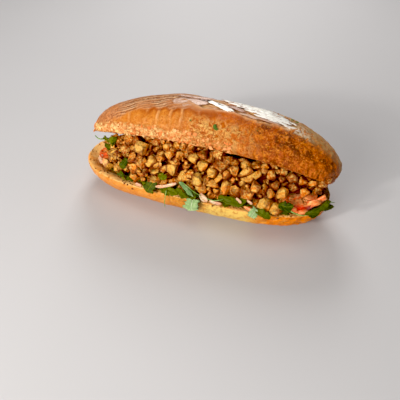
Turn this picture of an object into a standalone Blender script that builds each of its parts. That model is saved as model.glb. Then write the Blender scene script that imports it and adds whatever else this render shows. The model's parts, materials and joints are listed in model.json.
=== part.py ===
"""A slit bread roll held open by diced chicken on a bed of greens, with tomato slices at its two ends.

Metres, +Z up. The roll runs along X, its mouth opens towards -Y and its hinge of uncut crust is at +Y.
The origin is under the middle of the sandwich, on the surface that it rests on.
"""

import math

import bmesh
import bpy
from mathutils import Matrix, Vector, noise

# ---- driving dimensions, in metres -------------------------------------------------------------
LOAF_LENGTH = 0.230
LOAF_WIDTH = 0.0833
HEEL_HEIGHT = 0.0271  # the lower half, from the table to its cut face
CROWN_HEIGHT = 0.0450  # the upper half, from its cut face to the top of the crust
OPENING_ANGLE = math.radians(31.7)  # how far the filling props the crown up
HINGE_DEPTH = 0.0108  # uncut bread left along the back
HEEL_SHIFT = -0.0040  # the two halves have slipped a little along the roll
CROWN_SHIFT = 0.0031
CROWN_TILT = 0.0024  # the left end of the crown sits this much higher, and the right end lower
CROWN_ARCH = 0.0104  # the front lip of the crown bows up over the middle of the filling
CROWN_DROOP = 0.0020  # the right end of the crown sags a little
CROWN_TUCK = 0.0065  # and its crust tucks in below, so that the cut is shorter than the crown
TUCK_HEIGHT = 0.015

CRUST_SQUARENESS = 2.4  # 2 is a round section, more is boxier
CUT_RIM = 0.0040  # flat edge of each cut face, outside the dent
HEEL_DENT = 0.0050
CROWN_DENT = 0.0030
CRUST_LUMP = 0.0009
LUMP_SIZE = 0.028
SLASH_RISE = 0.0011  # the baker's cut along the top stands this much proud along its ear

GAP = 0.0005  # between neighbours
BED_GAP = 0.0010  # under the bed, over the dented cut face
GREENS_THICKNESS = 0.0044
RUFFLE = 0.16
BED_EDGE = 0.0011  # between leaves the bed stops this far outside the lip
CHICKEN_LENGTH = 0.206
CHICKEN_SHIFT = 0.0092
CHICKEN_BULGE = 0.0065  # how far the heap swells out of the mouth
CHICKEN_LUMP = 0.0066
DICE_SIZE = 0.0095
LIP_RECESS = 0.0070  # the top of the heap starts this far behind the crown's lip

TOMATO_RADIUS = 0.0158
TOMATO_THICKNESS = 0.0060

HALF_LENGTH = LOAF_LENGTH / 2
HALF_WIDTH = LOAF_WIDTH / 2
HINGE_Y = HALF_WIDTH - HINGE_DEPTH

# Leaves that hang out of the mouth: place along the heel (-1 to 1), how far out, how far down, width.
FRONT_LEAVES = (
    (-0.29, 0.0044, 0.0050, 0.075),
    (-0.13, 0.0044, 0.0040, 0.070),
    (0.04, 0.0058, 0.0105, 0.058),
    (0.33, 0.0044, 0.0040, 0.100),
    (0.53, 0.0056, 0.0085, 0.068),
    (0.79, 0.0046, 0.0036, 0.055),
)


# ---- shared shape functions --------------------------------------------------------------------
def smooth_step(value):
    """0 below 0, 1 above 1, and an S curve between."""
    value = min(max(value, 0.0), 1.0)
    return value * value * (3.0 - 2.0 * value)


def taper(station, bluntness, roundness):
    """The share of full size left at a station from -1 to 1 along a loaf."""
    return max(0.0, 1.0 - abs(station) ** bluntness) ** (1.0 / roundness)


def squared(value, squareness):
    """A sine or cosine bent towards a square section."""
    return math.copysign(abs(value) ** (2.0 / squareness), value)


def half_width(station):
    """Half the width of the roll. Its right end is a little blunter than its left."""
    bluntness = 3.46 if station < 0.0 else 3.88
    return HALF_WIDTH * taper(station, bluntness, 2.32)


def crown_height(station):
    bluntness = 2.1 if station < 0.0 else 3.0
    return CROWN_HEIGHT * taper(station, bluntness, 2.3)


def heel_depth(station):
    """Slightly more than the heel's height, so that the underside is cut flat by the table."""
    return HEEL_HEIGHT * 1.05 * taper(station, 5.0, 2.0)


def dent(across, station, depth):
    """The hollow that the filling presses into a cut face, inside a flat rim."""
    inside = half_width(station) - abs(across) - CUT_RIM
    return depth * smooth_step(inside / 0.016)


def crown_bow(across, station):
    """How far the crown's cut face leaves its plane: bowed up in front, drooping at the right end."""
    front = max(0.0, HINGE_Y - across) / LOAF_WIDTH
    droop = CROWN_DROOP * smooth_step((station - 0.45) / 0.55) ** 2
    return (CROWN_ARCH * max(0.0, 1.0 - station**2) - droop) * front


def crown_to_world(station, across, height):
    """A point of the closed loaf's upper half, swung open about the hinge line."""
    reach = across - HINGE_Y
    tuck = CROWN_TUCK * smooth_step((station - 0.55) / 0.45) * (1.0 - smooth_step(height / TUCK_HEIGHT))
    x = station * HALF_LENGTH + CROWN_SHIFT - tuck
    y = HINGE_Y + reach * math.cos(OPENING_ANGLE) + height * math.sin(OPENING_ANGLE)
    z = HEEL_HEIGHT - reach * math.sin(OPENING_ANGLE) + height * math.cos(OPENING_ANGLE)
    return Vector((x, y, z - CROWN_TILT * station))


def crust_lump(station, turn, seed):
    """Low swellings in the crust, fading to nothing at the two tips and at the cut."""
    around = Vector((station * HALF_LENGTH, HALF_WIDTH * math.cos(turn), HALF_WIDTH * math.sin(turn)))
    swell = noise.noise(around / LUMP_SIZE + Vector((seed, 0.0, 0.0)))
    return CRUST_LUMP * swell * math.sin(turn) * taper(station, 4.0, 2.0)


def slash_rise(station, turn):
    """The ear of the baker's cut: a low ridge that runs along the top of the crown."""
    along = smooth_step((station + 0.55) / 0.25) * smooth_step((0.85 - station) / 0.2)
    line = math.radians(84.0 - 4.0 * station)
    across = (turn - line) / math.radians(11.0)
    return SLASH_RISE * along * math.exp(-across * across)


def heel_cut_z(x, y):
    """Height of the heel's cut face at a place on it."""
    station = (x - HEEL_SHIFT) / HALF_LENGTH
    return HEEL_HEIGHT - dent(y, min(max(station, -1.0), 1.0), HEEL_DENT)


def crown_cut_point(x, across, drop):
    """A point a given drop below the crown's cut face, by its place across the closed loaf."""
    station = min(max((x - CROWN_SHIFT) / HALF_LENGTH, -1.0), 1.0)
    height = crown_bow(across, station) + dent(across, station, CROWN_DENT) - drop
    point = crown_to_world(station, across, height)
    point.x = x
    return point


# ---- the two halves of the roll ----------------------------------------------------------------
def heel_shape(station, turn):
    """The lower half: crust for a turn from 0 to pi, cut face for one below 0."""
    wide = half_width(station)
    across = wide * squared(math.cos(turn), CRUST_SQUARENESS)
    if turn < 0.0:
        z = HEEL_HEIGHT - dent(across, station, HEEL_DENT)
    else:
        lump = crust_lump(station, turn, 7.0)
        across += lump * math.cos(turn)
        depth = heel_depth(station) * squared(math.sin(turn), CRUST_SQUARENESS)
        z = max(0.0, HEEL_HEIGHT - depth - lump)
    return Vector((station * HALF_LENGTH + HEEL_SHIFT, across, z))


def crown_shape(station, turn):
    """The upper half, swung open: crust for a turn from 0 to pi, cut face for one below 0."""
    wide = half_width(station)
    across = wide * squared(math.cos(turn), CRUST_SQUARENESS)
    height = crown_bow(across, station)
    if turn < 0.0:
        height += dent(across, station, CROWN_DENT)
    else:
        proud = crust_lump(station, math.pi - turn, 2.0) + slash_rise(station, math.pi - turn)
        across += proud * math.cos(turn)
        height += crown_height(station) * squared(math.sin(turn), CRUST_SQUARENESS) + proud
    return crown_to_world(station, across, height)


# ---- the greens and the chicken ----------------------------------------------------------------
def bed_edge(station):
    """How far outside the lip the bed ends where no leaf hangs. At both ends it stops short of the lip."""
    left = smooth_step((-0.45 - station) / 0.20)
    right = smooth_step((station - 0.86) / 0.10)
    return BED_EDGE - 0.0080 * left - 0.0055 * right


def leaf_reach(station):
    """(how far out of the mouth, how far down) the bed's front edge hangs at a station along the heel."""
    edge = bed_edge(station)
    out, down = edge, 0.0
    for place, leaf_out, leaf_down, width in FRONT_LEAVES:
        share = math.exp(-(((station - place) / width) ** 2))
        out = max(out, edge + (leaf_out - edge) * share)
        down = max(down, leaf_down * share)
    return out, down


def greens_shape(station, turn):
    """The bed of leaves: its top for a turn from 0 to pi, its underside for one below 0."""
    x = station * (HALF_LENGTH - 0.005) + HEEL_SHIFT
    at_heel = (x - HEEL_SHIFT) / HALF_LENGTH
    wide = half_width(at_heel)
    out, down = leaf_reach(at_heel)
    front = -wide - out
    bend = max(-wide - GAP, front + 0.0005)  # where the leaves turn down over the lip
    back = min(HINGE_Y - 0.011, wide - 0.0036)
    share = abs(turn) / math.pi  # 0 at the back edge, 1 at the front
    if share > 0.94:
        y, hang = front, 1.0
    elif share > 0.84:
        y, hang = (bend + front) / 2.0 if turn > 0.0 else bend - 0.0002, 0.9
    elif share > 0.74:
        y, hang = bend, 0.0
    else:
        y, hang = back + (bend + 0.0008 - back) * math.sin(share / 0.72 * math.pi / 2.0), 0.0
    rise = 0.0
    if turn > 0.0:
        ruffle = 1.0 + RUFFLE * noise.noise(Vector((x, y, 0.0)) / 0.011)
        rise = GREENS_THICKNESS * ruffle * min(1.0, math.sin(turn) * 2.2) ** 0.5 * taper(station, 8.0, 2.0)
        hang *= 0.6
    return Vector((x, y, heel_cut_z(x, y) + BED_GAP + rise - down * hang))


def greens_top_z(x, y):
    """The highest that the bed reaches under the chicken."""
    return heel_cut_z(x, y) + BED_GAP + GREENS_THICKNESS * (1.0 + RUFFLE * 0.5)


def chicken_corners(x):
    """The heap's four limits at a place along it, across the closed loaf."""
    wide_below = half_width(min(max((x - HEEL_SHIFT) / HALF_LENGTH, -1.0), 1.0))
    wide_above = half_width(min(max((x - CROWN_SHIFT) / HALF_LENGTH, -1.0), 1.0))
    front_below = -wide_below + 0.0045
    front_above = -wide_above + LIP_RECESS
    back_below = min(HINGE_Y - 0.014, wide_below - 0.0035)
    back_above = min(HINGE_Y - 0.014, wide_above - 0.0035)
    return front_below, front_above, back_below, back_above


def chicken_point(x, depth, rise):
    """depth is 0 at the back of the heap and 1 at its face, rise is 0 at the bed and 1 at the crown."""
    front_below, front_above, back_below, back_above = chicken_corners(x)
    y = back_below + (front_below - back_below) * depth
    below = Vector((x, y, greens_top_z(x, y) + 1.5 * GAP))
    across = back_above + (front_above - back_above) * depth
    above = crown_cut_point(x, across, 2.0 * GAP)
    point = below.lerp(above, rise)
    swell = CHICKEN_BULGE * 4.0 * rise * (1.0 - rise) * smooth_step((depth - 0.5) * 2.0)
    return point + Vector((0.0, -swell * 0.9, swell * 0.25))


def around_outline(turn):
    """(depth, rise) on a square outline. Half of the points go to the heap's face."""
    share = (turn / math.tau) % 1.0
    if share < 0.5:  # the face, from the bed up to the crown
        return 1.0, share / 0.5
    if share < 0.7:  # under the crown, towards the hinge
        return 1.0 - (share - 0.5) / 0.2, 1.0
    if share < 0.8:  # the back
        return 0.0, 1.0 - (share - 0.7) / 0.1
    return (share - 0.8) / 0.2, 0.0  # on the bed, towards the face


def chicken_shape(station, turn):
    """The heap of diced chicken, out to its lumpy outline."""
    x = station * CHICKEN_LENGTH / 2 + CHICKEN_SHIFT
    depth, rise = around_outline(turn)
    ends = taper(station, 9.0, 2.0)
    point = chicken_point(x, 0.5 + (depth - 0.5) * ends, 0.5 + (rise - 0.5) * ends)
    face = smooth_step((depth - 0.8) * 5.0) * math.sin(math.pi * rise) * taper(station, 20.0, 1.0)
    lump = 0.55 - noise.voronoi(point / DICE_SIZE)[0][0]
    return point + Vector((0.0, -0.75, 0.45)) * (CHICKEN_LUMP * lump * face)


# ---- modelling tools ---------------------------------------------------------------------------
def clear_scene():
    for obj in list(bpy.data.objects):
        bpy.data.objects.remove(obj, do_unlink=True)


def collection(name, helpers=False):
    made = bpy.data.collections.new(name)
    made.hide_render = helpers
    bpy.context.scene.collection.children.link(made)
    return made


def material(name, colour, roughness):
    made = bpy.data.materials.new(name)
    made.use_nodes = True
    shader = made.node_tree.nodes["Principled BSDF"]
    shader.inputs["Base Color"].default_value = (*colour, 1.0)
    shader.inputs["Roughness"].default_value = roughness
    return made


def move_to(obj, group):
    for owner in list(obj.users_collection):
        owner.objects.unlink(obj)
    group.objects.link(obj)


def shaped_sphere(name, segments, rings, shape, group, upper_share=0.5):
    """A UV sphere with its poles along X, every point of which is put where shape(station, turn) says.

    upper_share of the segments go to turns from 0 to pi, and the rest to turns from 0 down to -pi.
    """
    bpy.ops.mesh.primitive_uv_sphere_add(segments=segments, ring_count=rings, radius=1.0)
    obj = bpy.context.object
    obj.name = name
    for vertex in obj.data.vertices:
        x, y, station = vertex.co
        around = math.atan2(y, x) % math.tau / math.tau if math.hypot(x, y) > 1e-4 else 0.0
        if around > 1.0 - 1e-4:
            around = 0.0
        if around < upper_share + 1e-4:
            turn = min(around / upper_share, 1.0) * math.pi
        else:
            turn = -(1.0 - around) / (1.0 - upper_share) * math.pi
        vertex.co = shape(min(max(station, -1.0), 1.0), turn)
    turn_faces_out(obj.data)
    obj.data.shade_smooth()
    move_to(obj, group)
    return obj


def turn_faces_out(mesh):
    work = bmesh.new()
    work.from_mesh(mesh)
    bmesh.ops.recalc_face_normals(work, faces=work.faces)
    work.to_mesh(mesh)
    work.free()


def as_helper(obj, group):
    move_to(obj, group)
    obj.hide_render = True
    obj.display_type = "WIRE"
    return obj


def boolean(obj, other, operation):
    modifier = obj.modifiers.new(operation.title(), "BOOLEAN")
    modifier.operation = operation
    modifier.solver = "EXACT"
    modifier.object = other


def half_slice(name, radius, thickness, place, turned, group):
    """Half a tomato slice, skin on its round side: a bevelled cylinder cut in two and laid in place."""
    bpy.ops.mesh.primitive_cylinder_add(vertices=28, radius=radius, depth=thickness)
    obj = bpy.context.object
    obj.name = name
    work = bmesh.new()
    work.from_mesh(obj.data)
    everything = [*work.verts, *work.edges, *work.faces]
    cut = bmesh.ops.bisect_plane(
        work, geom=everything, plane_co=(0.0, 0.0, 0.0), plane_no=(0.0, 1.0, 0.0), clear_outer=True
    )
    open_edges = [part for part in cut["geom_cut"] if isinstance(part, bmesh.types.BMEdge)]
    bmesh.ops.contextual_create(work, geom=open_edges)
    bmesh.ops.recalc_face_normals(work, faces=work.faces)
    work.to_mesh(obj.data)
    work.free()
    obj.location = place
    obj.rotation_euler = turned
    bevel = obj.modifiers.new("Bevel", "BEVEL")
    bevel.width = thickness * 0.22
    bevel.segments = 2
    bevel.limit_method = "ANGLE"
    move_to(obj, group)
    return obj


def grown_copy(obj, name, growth, group):
    """A sharp-edged copy of a slice, larger by the growth all round, that cuts its neighbours clear of it."""
    copy = obj.copy()
    copy.data = obj.data.copy()
    copy.name = name
    copy.modifiers.clear()
    for vertex in copy.data.vertices:
        flat = Vector((vertex.co.x, vertex.co.y, 0.0))
        vertex.co += flat.normalized() * growth * 1.4 if flat.length > 1e-6 else Vector()
        vertex.co.z += math.copysign(growth, vertex.co.z)
        vertex.co.y += growth if vertex.co.y > -1e-4 else 0.0
    group.objects.link(copy)
    return as_helper(copy, group)


def stand_on_origin(objects):
    """Moves the finished meshes so that the origin is under the middle of them all."""
    graph = bpy.context.evaluated_depsgraph_get()
    corners = []
    for obj in objects:
        seen = obj.evaluated_get(graph)
        corners += [seen.matrix_world @ vertex.co for vertex in seen.to_mesh().vertices]
    low = Vector([min(corner[axis] for corner in corners) for axis in range(3)])
    high = Vector([max(corner[axis] for corner in corners) for axis in range(3)])
    offset = Vector((-(low.x + high.x) / 2, -(low.y + high.y) / 2, -low.z))
    for obj in bpy.data.objects:
        obj.matrix_world = Matrix.Translation(offset) @ obj.matrix_world


# ---- the sandwich ------------------------------------------------------------------------------
def main():
    clear_scene()
    parts = collection("chicken_sandwich")
    helpers = collection("helpers", helpers=True)

    crust = material("crust", (0.72, 0.36, 0.10), 0.45)
    leaf = material("leaf", (0.13, 0.27, 0.06), 0.5)
    chicken = material("chicken", (0.55, 0.24, 0.06), 0.4)
    tomato = material("tomato", (0.72, 0.12, 0.05), 0.3)

    heel = as_helper(shaped_sphere("heel", 32, 30, heel_shape, helpers), helpers)
    roll = shaped_sphere("bread_roll", 40, 34, crown_shape, parts, upper_share=0.65)
    boolean(roll, heel, "UNION")
    roll.data.materials.append(crust)

    greens = shaped_sphere("greens_bed", 20, 48, greens_shape, parts)
    greens.data.materials.append(leaf)

    heap = shaped_sphere("chicken_filling", 28, 56, chicken_shape, parts)
    heap.data.materials.append(chicken)

    slices = (
        ("tomato_slice_left", 0.62, Vector((-0.0930, -0.0100, 0.0322)), (0.10, 0.05, math.radians(-62.0))),
        ("tomato_slice_right", 1.0, Vector((0.0850, -0.0170, 0.0370)), (0.12, 0.06, math.radians(18.0))),
    )
    for name, scale, place, turned in slices:
        piece = half_slice(name, TOMATO_RADIUS * scale, TOMATO_THICKNESS, place, turned, parts)
        piece.data.materials.append(tomato)
        cutter = grown_copy(piece, name + "_room", 1.5 * GAP, helpers)
        boolean(heap, cutter, "DIFFERENCE")
        boolean(greens, cutter, "DIFFERENCE")

    stand_on_origin(parts.objects)


main()
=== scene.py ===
import json
import math
import random
from contextlib import contextmanager

import bpy
import numpy as np
from mathutils import Euler, Matrix, Quaternion, Vector, noise
from mathutils.bvhtree import BVHTree

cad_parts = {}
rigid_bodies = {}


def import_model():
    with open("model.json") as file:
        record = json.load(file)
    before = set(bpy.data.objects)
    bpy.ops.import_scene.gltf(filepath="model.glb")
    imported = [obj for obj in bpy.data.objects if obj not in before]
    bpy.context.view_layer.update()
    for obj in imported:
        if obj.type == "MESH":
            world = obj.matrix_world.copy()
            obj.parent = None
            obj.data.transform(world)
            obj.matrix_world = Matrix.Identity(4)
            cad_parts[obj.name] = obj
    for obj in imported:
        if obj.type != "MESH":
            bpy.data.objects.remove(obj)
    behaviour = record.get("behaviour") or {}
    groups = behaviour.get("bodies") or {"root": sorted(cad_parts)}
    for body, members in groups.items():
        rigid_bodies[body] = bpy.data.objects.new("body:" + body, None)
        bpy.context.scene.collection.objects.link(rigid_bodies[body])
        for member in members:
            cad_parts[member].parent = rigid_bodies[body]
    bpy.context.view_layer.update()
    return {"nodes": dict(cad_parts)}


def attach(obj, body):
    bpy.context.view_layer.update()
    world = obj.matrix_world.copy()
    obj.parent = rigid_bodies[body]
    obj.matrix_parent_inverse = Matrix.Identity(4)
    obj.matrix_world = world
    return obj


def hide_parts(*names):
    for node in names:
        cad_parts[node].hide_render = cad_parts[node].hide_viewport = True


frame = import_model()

noise.seed_set(7)  # noise_vector takes its offsets from this seed

# ---- sizes that the looks share with the solid model, in metres ---------------------------------
HALF_LENGTH = 0.115
HALF_WIDTH = 0.04165
HEEL_TOP = 0.0271
CROWN_HEIGHT = 0.0450
OPENING = math.radians(31.7)
CLOSED_HINGE = 0.03085  # the hinge line's place across the closed roll
MIDDLE = Vector((0.0018, -0.0015, 0.0))  # the origin of the roll's own sizes
CROWN_SHIFT, HEEL_SHIFT = 0.0031, -0.0040
CROWN_TILT, CROWN_ARCH = 0.0024, 0.0104
MM = 0.001
LOWEST, HIGHEST = (-0.1171, -0.0482, 0.0), (0.1171, 0.0482, 0.0954)  # just inside the solid model's box
CRUST_VOXEL = 0.00109
GOLDEN_ANGLE = 2.39996


# ---- small tools ---------------------------------------------------------------------------------
def rgb(red, green, blue):
    """A colour from 0 to 255 as the linear colour that a shader takes."""
    def linear(value):
        value /= 255.0
        return value / 12.92 if value <= 0.04045 else ((value + 0.055) / 1.055) ** 2.4
    return (linear(red), linear(green), linear(blue), 1.0)


def smooth(value, low, high):
    """0 at low, 1 at high and an S curve between, for numbers and arrays alike."""
    share = np.clip((value - low) / (high - low), 0.0, 1.0)
    return share * share * (3.0 - 2.0 * share)


def only(obj):
    """Selects one object and nothing else."""
    bpy.ops.object.select_all(action="DESELECT")
    obj.select_set(True)
    bpy.context.view_layer.objects.active = obj
    return obj


def finish_with(obj, kind, **settings):
    """Adds a modifier and applies it."""
    only(obj)
    modifier = obj.modifiers.new(kind.title(), kind)
    for name, value in settings.items():
        setattr(modifier, name, value)
    bpy.ops.object.modifier_apply(modifier=modifier.name)


@contextmanager
def editing(obj):
    """Edit mode on one object, with its whole mesh selected."""
    only(obj)
    bpy.ops.object.mode_set(mode="EDIT")
    bpy.ops.mesh.select_all(action="SELECT")
    yield
    bpy.ops.object.mode_set(mode="OBJECT")


def close_up(obj, distance):
    """Merges doubles and turns the faces outwards."""
    with editing(obj):
        bpy.ops.mesh.remove_doubles(threshold=distance)
        bpy.ops.mesh.normals_make_consistent(inside=False)


def linked(obj):
    bpy.context.scene.collection.objects.link(obj)
    return obj


def copied(source):
    """A copy with its own mesh."""
    obj = source.copy()
    obj.data = source.data.copy()
    return linked(obj)


def merged_copy(node, name):
    """A new object with the shape of a CAD node, its loose triangles joined up."""
    obj = linked(bpy.data.objects.new(name, frame["nodes"][node].data.copy()))
    close_up(obj, 0.00002)
    obj.data.materials.clear()
    return obj


def keep_main_part(obj):
    """Deletes the loose scraps, which is all that isn't linked to the point nearest the middle."""
    only(obj)
    bpy.ops.object.mode_set(mode="EDIT")
    bpy.ops.mesh.select_mode(type="VERT")
    bpy.ops.mesh.select_all(action="DESELECT")
    bpy.ops.object.mode_set(mode="OBJECT")
    obj.data.vertices[int(np.abs(points_of(obj.data)[:, 0]).argmin())].select = True
    bpy.ops.object.mode_set(mode="EDIT")
    bpy.ops.mesh.select_linked()
    bpy.ops.mesh.select_all(action="INVERT")
    bpy.ops.mesh.delete(type="VERT")
    bpy.ops.object.mode_set(mode="OBJECT")


def joined(pieces, name):
    bpy.ops.object.select_all(action="DESELECT")
    for piece in pieces:
        piece.select_set(True)
    bpy.context.view_layer.objects.active = pieces[0]
    if len(pieces) > 1:
        bpy.ops.object.join()
    pieces[0].name = name
    pieces[0].data.name = name
    return pieces[0]


def placed(obj, matrix):
    """Moves the mesh and leaves the object at the origin."""
    obj.data.transform(obj.matrix_world)
    obj.data.transform(matrix)
    obj.matrix_world = Matrix.Identity(4)
    return obj


def dressed(obj, material, angle=None):
    """Gives a piece its material and smooths its shading, up to an angle in degrees where one is given."""
    obj.data.materials.append(material)
    obj.data.shade_smooth()
    if angle:
        only(obj)
        bpy.ops.object.shade_smooth_by_angle(angle=math.radians(angle))
    return obj


def degrees(turned):
    return Euler([math.radians(angle) for angle in turned])


def any_turn(rng):
    return Quaternion([rng.gauss(0, 1) for _ in range(4)]).normalized()


def points_of(mesh):
    points = np.empty(len(mesh.vertices) * 3)
    mesh.vertices.foreach_get("co", points)
    return points.reshape(-1, 3)


def normals_of(mesh):
    normals = np.empty(len(mesh.vertices) * 3)
    mesh.vertices.foreach_get("normal", normals)
    return normals.reshape(-1, 3)


def write_points(mesh, points):
    mesh.vertices.foreach_set("co", np.asarray(points, np.float32).ravel())
    mesh.update()


def note(mesh, name, values):
    """Keeps a number, or a vector, at each point for the material to read."""
    values = np.asarray(values, np.float32)
    kind, field = ("FLOAT_VECTOR", "vector") if values.ndim == 2 else ("FLOAT", "value")
    attribute = mesh.attributes.get(name) or mesh.attributes.new(name, kind, "POINT")
    attribute.data.foreach_set(field, values.ravel())


def spread(mesh, values, times):
    """Values evened out along the mesh's edges."""
    ends = np.empty(len(mesh.edges) * 2, np.int64)
    mesh.edges.foreach_get("vertices", ends)
    ends = ends.reshape(-1, 2)
    count = np.bincount(ends.ravel(), minlength=len(values))
    for _ in range(times):
        total = np.bincount(ends[:, 0], values[ends[:, 1]], len(values))
        total += np.bincount(ends[:, 1], values[ends[:, 0]], len(values))
        values = 0.5 * values + 0.5 * total / np.maximum(count, 1)
    return values


def grain(points, size, seed=0.0):
    """Smooth noise of about -1 to 1 at each point, with features of a size in metres."""
    shift = Vector((seed, seed * 0.7, -seed))
    scale = 1.0 / size
    return np.array([noise.noise(Vector(point) * scale + shift) for point in points])


def cracks(points, size, seed=0.0):
    """Distance from the edges between cells of a size in metres, 0 at an edge."""
    shift = Vector((seed, -seed, seed * 0.3))
    scale = 1.0 / size
    near = [noise.voronoi(Vector(point) * scale + shift)[0] for point in points]
    return np.array([far[1] - far[0] for far in near])


def closeness(mesh, reach, count):
    """How much of the room in front of each point other surfaces take up, 0 to 1."""
    tree = BVHTree.FromPolygons([v.co for v in mesh.vertices], [face.vertices for face in mesh.polygons])
    turns = [(1.0 - (2.0 * i + 1.0) / count, i * GOLDEN_ANGLE) for i in range(count)]
    ways = [Vector((math.cos(a) * math.sqrt(1 - h * h), math.sin(a) * math.sqrt(1 - h * h), h)) for h, a in turns]
    taken = []
    for vertex in mesh.vertices:
        normal = vertex.normal
        start = vertex.co + normal * 0.00025
        hits = 0
        for way in ways:
            facing = way.dot(normal)
            ahead = way if facing > 0.0 else way - normal * (2.0 * facing)
            hits += tree.ray_cast(start, ahead, reach)[0] is not None
        taken.append(hits / count)
    return np.array(taken)


# ---- shader sockets that do arithmetic -----------------------------------------------------------
class Wire:
    """One output socket. Arithmetic on it adds the Math nodes that work it out."""

    def __init__(self, finish, socket):
        self.finish = finish
        self.socket = socket

    def _math(self, operation, first, second):
        return self.finish.node("ShaderNodeMath", {"operation": operation}, {0: first, 1: second})

    def __add__(self, other):
        return self._math("ADD", self, other)

    def __sub__(self, other):
        return self._math("SUBTRACT", self, other)

    def __rsub__(self, other):
        return self._math("SUBTRACT", other, self)

    def __mul__(self, other):
        return self._math("MULTIPLY", self, other)

    __radd__, __rmul__ = __add__, __mul__

    def least(self, other):
        return self._math("MINIMUM", self, other)

    def most(self, other):
        return self._math("MAXIMUM", self, other)

    def through(self, operation):
        return self.finish.node("ShaderNodeMath", {"operation": operation}, {0: self})

    def ease(self, low, high):
        """0 at low, 1 at high, and an S curve between."""
        values = {"Value": self, "From Min": low, "From Max": high}
        return self.finish.node("ShaderNodeMapRange", {"interpolation_type": "SMOOTHSTEP"}, values)


class Finish:
    """One material. Its fixed values are set on the shader's own sockets."""

    def __init__(self, name, fixed):
        self.material = bpy.data.materials.new(name)
        self.material.use_nodes = True
        self.tree = self.material.node_tree
        self.shader = self.tree.nodes["Principled BSDF"]
        for socket, value in fixed.items():
            self.shader.inputs[socket].default_value = value

    def node(self, kind, settings, values, out=0):
        made = self.tree.nodes.new(kind)
        for name, value in settings.items():
            setattr(made, name, value)
        for socket, value in values.items():
            if isinstance(value, Wire):
                self.tree.links.new(value.socket, made.inputs[socket])
            else:
                made.inputs[socket].default_value = value
        return Wire(self, made.outputs[out])

    def place(self):
        return self.node("ShaderNodeTexCoord", {}, {}, "Object")

    def attribute(self, name, out="Fac"):
        return self.node("ShaderNodeAttribute", {"attribute_name": name}, {}, out)

    def attributes(self, names):
        return [self.attribute(name) for name in names.split()]

    def axis(self, vector, index):
        return self.node("ShaderNodeSeparateXYZ", {}, {0: vector}, index)

    def warped(self, vector, size, amount):
        """The place shifted by noise, so that cells on it are uneven."""
        values = {"Vector": vector, "Scale": 1.0 / size, "Detail": 2.0}
        drift = self.node("ShaderNodeTexNoise", {}, values, "Color")
        values = {0: drift, 1: (amount, amount, amount), 2: vector}
        return self.node("ShaderNodeVectorMath", {"operation": "MULTIPLY_ADD"}, values)

    def stretch(self, vector, scale):
        return self.node("ShaderNodeVectorMath", {"operation": "MULTIPLY"}, {0: vector, 1: scale})

    def noise(self, vector, size, detail=3.0, rough=0.55, twist=0.0):
        """Noise of 0 to 1 with features of a size in metres."""
        values = {"Vector": vector, "Scale": 1.0 / size, "Detail": detail, "Roughness": rough, "Distortion": twist}
        return self.node("ShaderNodeTexNoise", {}, values)

    def cells(self, vector, size, feature="F1", out=0):
        return self.node("ShaderNodeTexVoronoi", {"feature": feature}, {"Vector": vector, "Scale": 1.0 / size}, out)

    def mix(self, share, first, second, blend="MIX"):
        settings = {"data_type": "RGBA", "blend_type": blend}
        return self.node("ShaderNodeMix", settings, {0: share, 6: first, 7: second}, 2)

    def between(self, share, first, second):
        """A colour between two that are given as red, green and blue."""
        return self.mix(share, rgb(*first), rgb(*second))

    def over(self, colour, *coats):
        """The colour with others laid over it in turn, each as (share, red, green, blue)."""
        for share, *tint in coats:
            colour = self.mix(share, colour, rgb(*tint))
        return colour

    def bump(self, height, distance, strength=1.0):
        return self.node("ShaderNodeBump", {}, {"Height": height, "Distance": distance, "Strength": strength})

    def feed(self, colour, rough=None, relief=None):
        """Links what varies over the surface to the shader, and gives the finished material."""
        for socket, value in (("Base Color", colour), ("Roughness", rough), ("Normal", relief)):
            if value is not None:
                self.tree.links.new(value.socket, self.shader.inputs[socket])
        return self.material


# ---- the roll's own coordinates ------------------------------------------------------------------
def taper(station, bluntness, roundness):
    return np.maximum(1e-6, 1.0 - np.abs(station) ** bluntness) ** (1.0 / roundness)


def half_width(station):
    return HALF_WIDTH * taper(station, np.where(station < 0.0, 3.46, 3.88), 2.32)


def crown_top(station):
    return CROWN_HEIGHT * taper(station, np.where(station < 0.0, 2.1, 3.0), 2.3)


def crown_point(station, turn, lift=0.0):
    """A point on the crown's crust. turn is 0 at the front lip, 1 at the back, and lift is outwards."""
    wide, high = float(half_width(np.array(station))), float(crown_top(np.array(station)))
    angle = turn * math.pi
    across = -wide * math.copysign(abs(math.cos(angle)) ** (1.0 / 1.2), math.cos(angle))
    height = high * math.sin(angle) ** (1.0 / 1.2)
    across -= lift * math.cos(angle)
    height += lift * math.sin(angle)
    height += CROWN_ARCH * max(0.0, 1.0 - station**2) * max(0.0, CLOSED_HINGE - across) / (2 * HALF_WIDTH)
    reach = across - CLOSED_HINGE
    y = CLOSED_HINGE + reach * math.cos(OPENING) + height * math.sin(OPENING)
    z = HEEL_TOP - reach * math.sin(OPENING) + height * math.cos(OPENING) - CROWN_TILT * station
    return Vector((station * HALF_LENGTH + CROWN_SHIFT, y, z)) + MIDDLE


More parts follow.
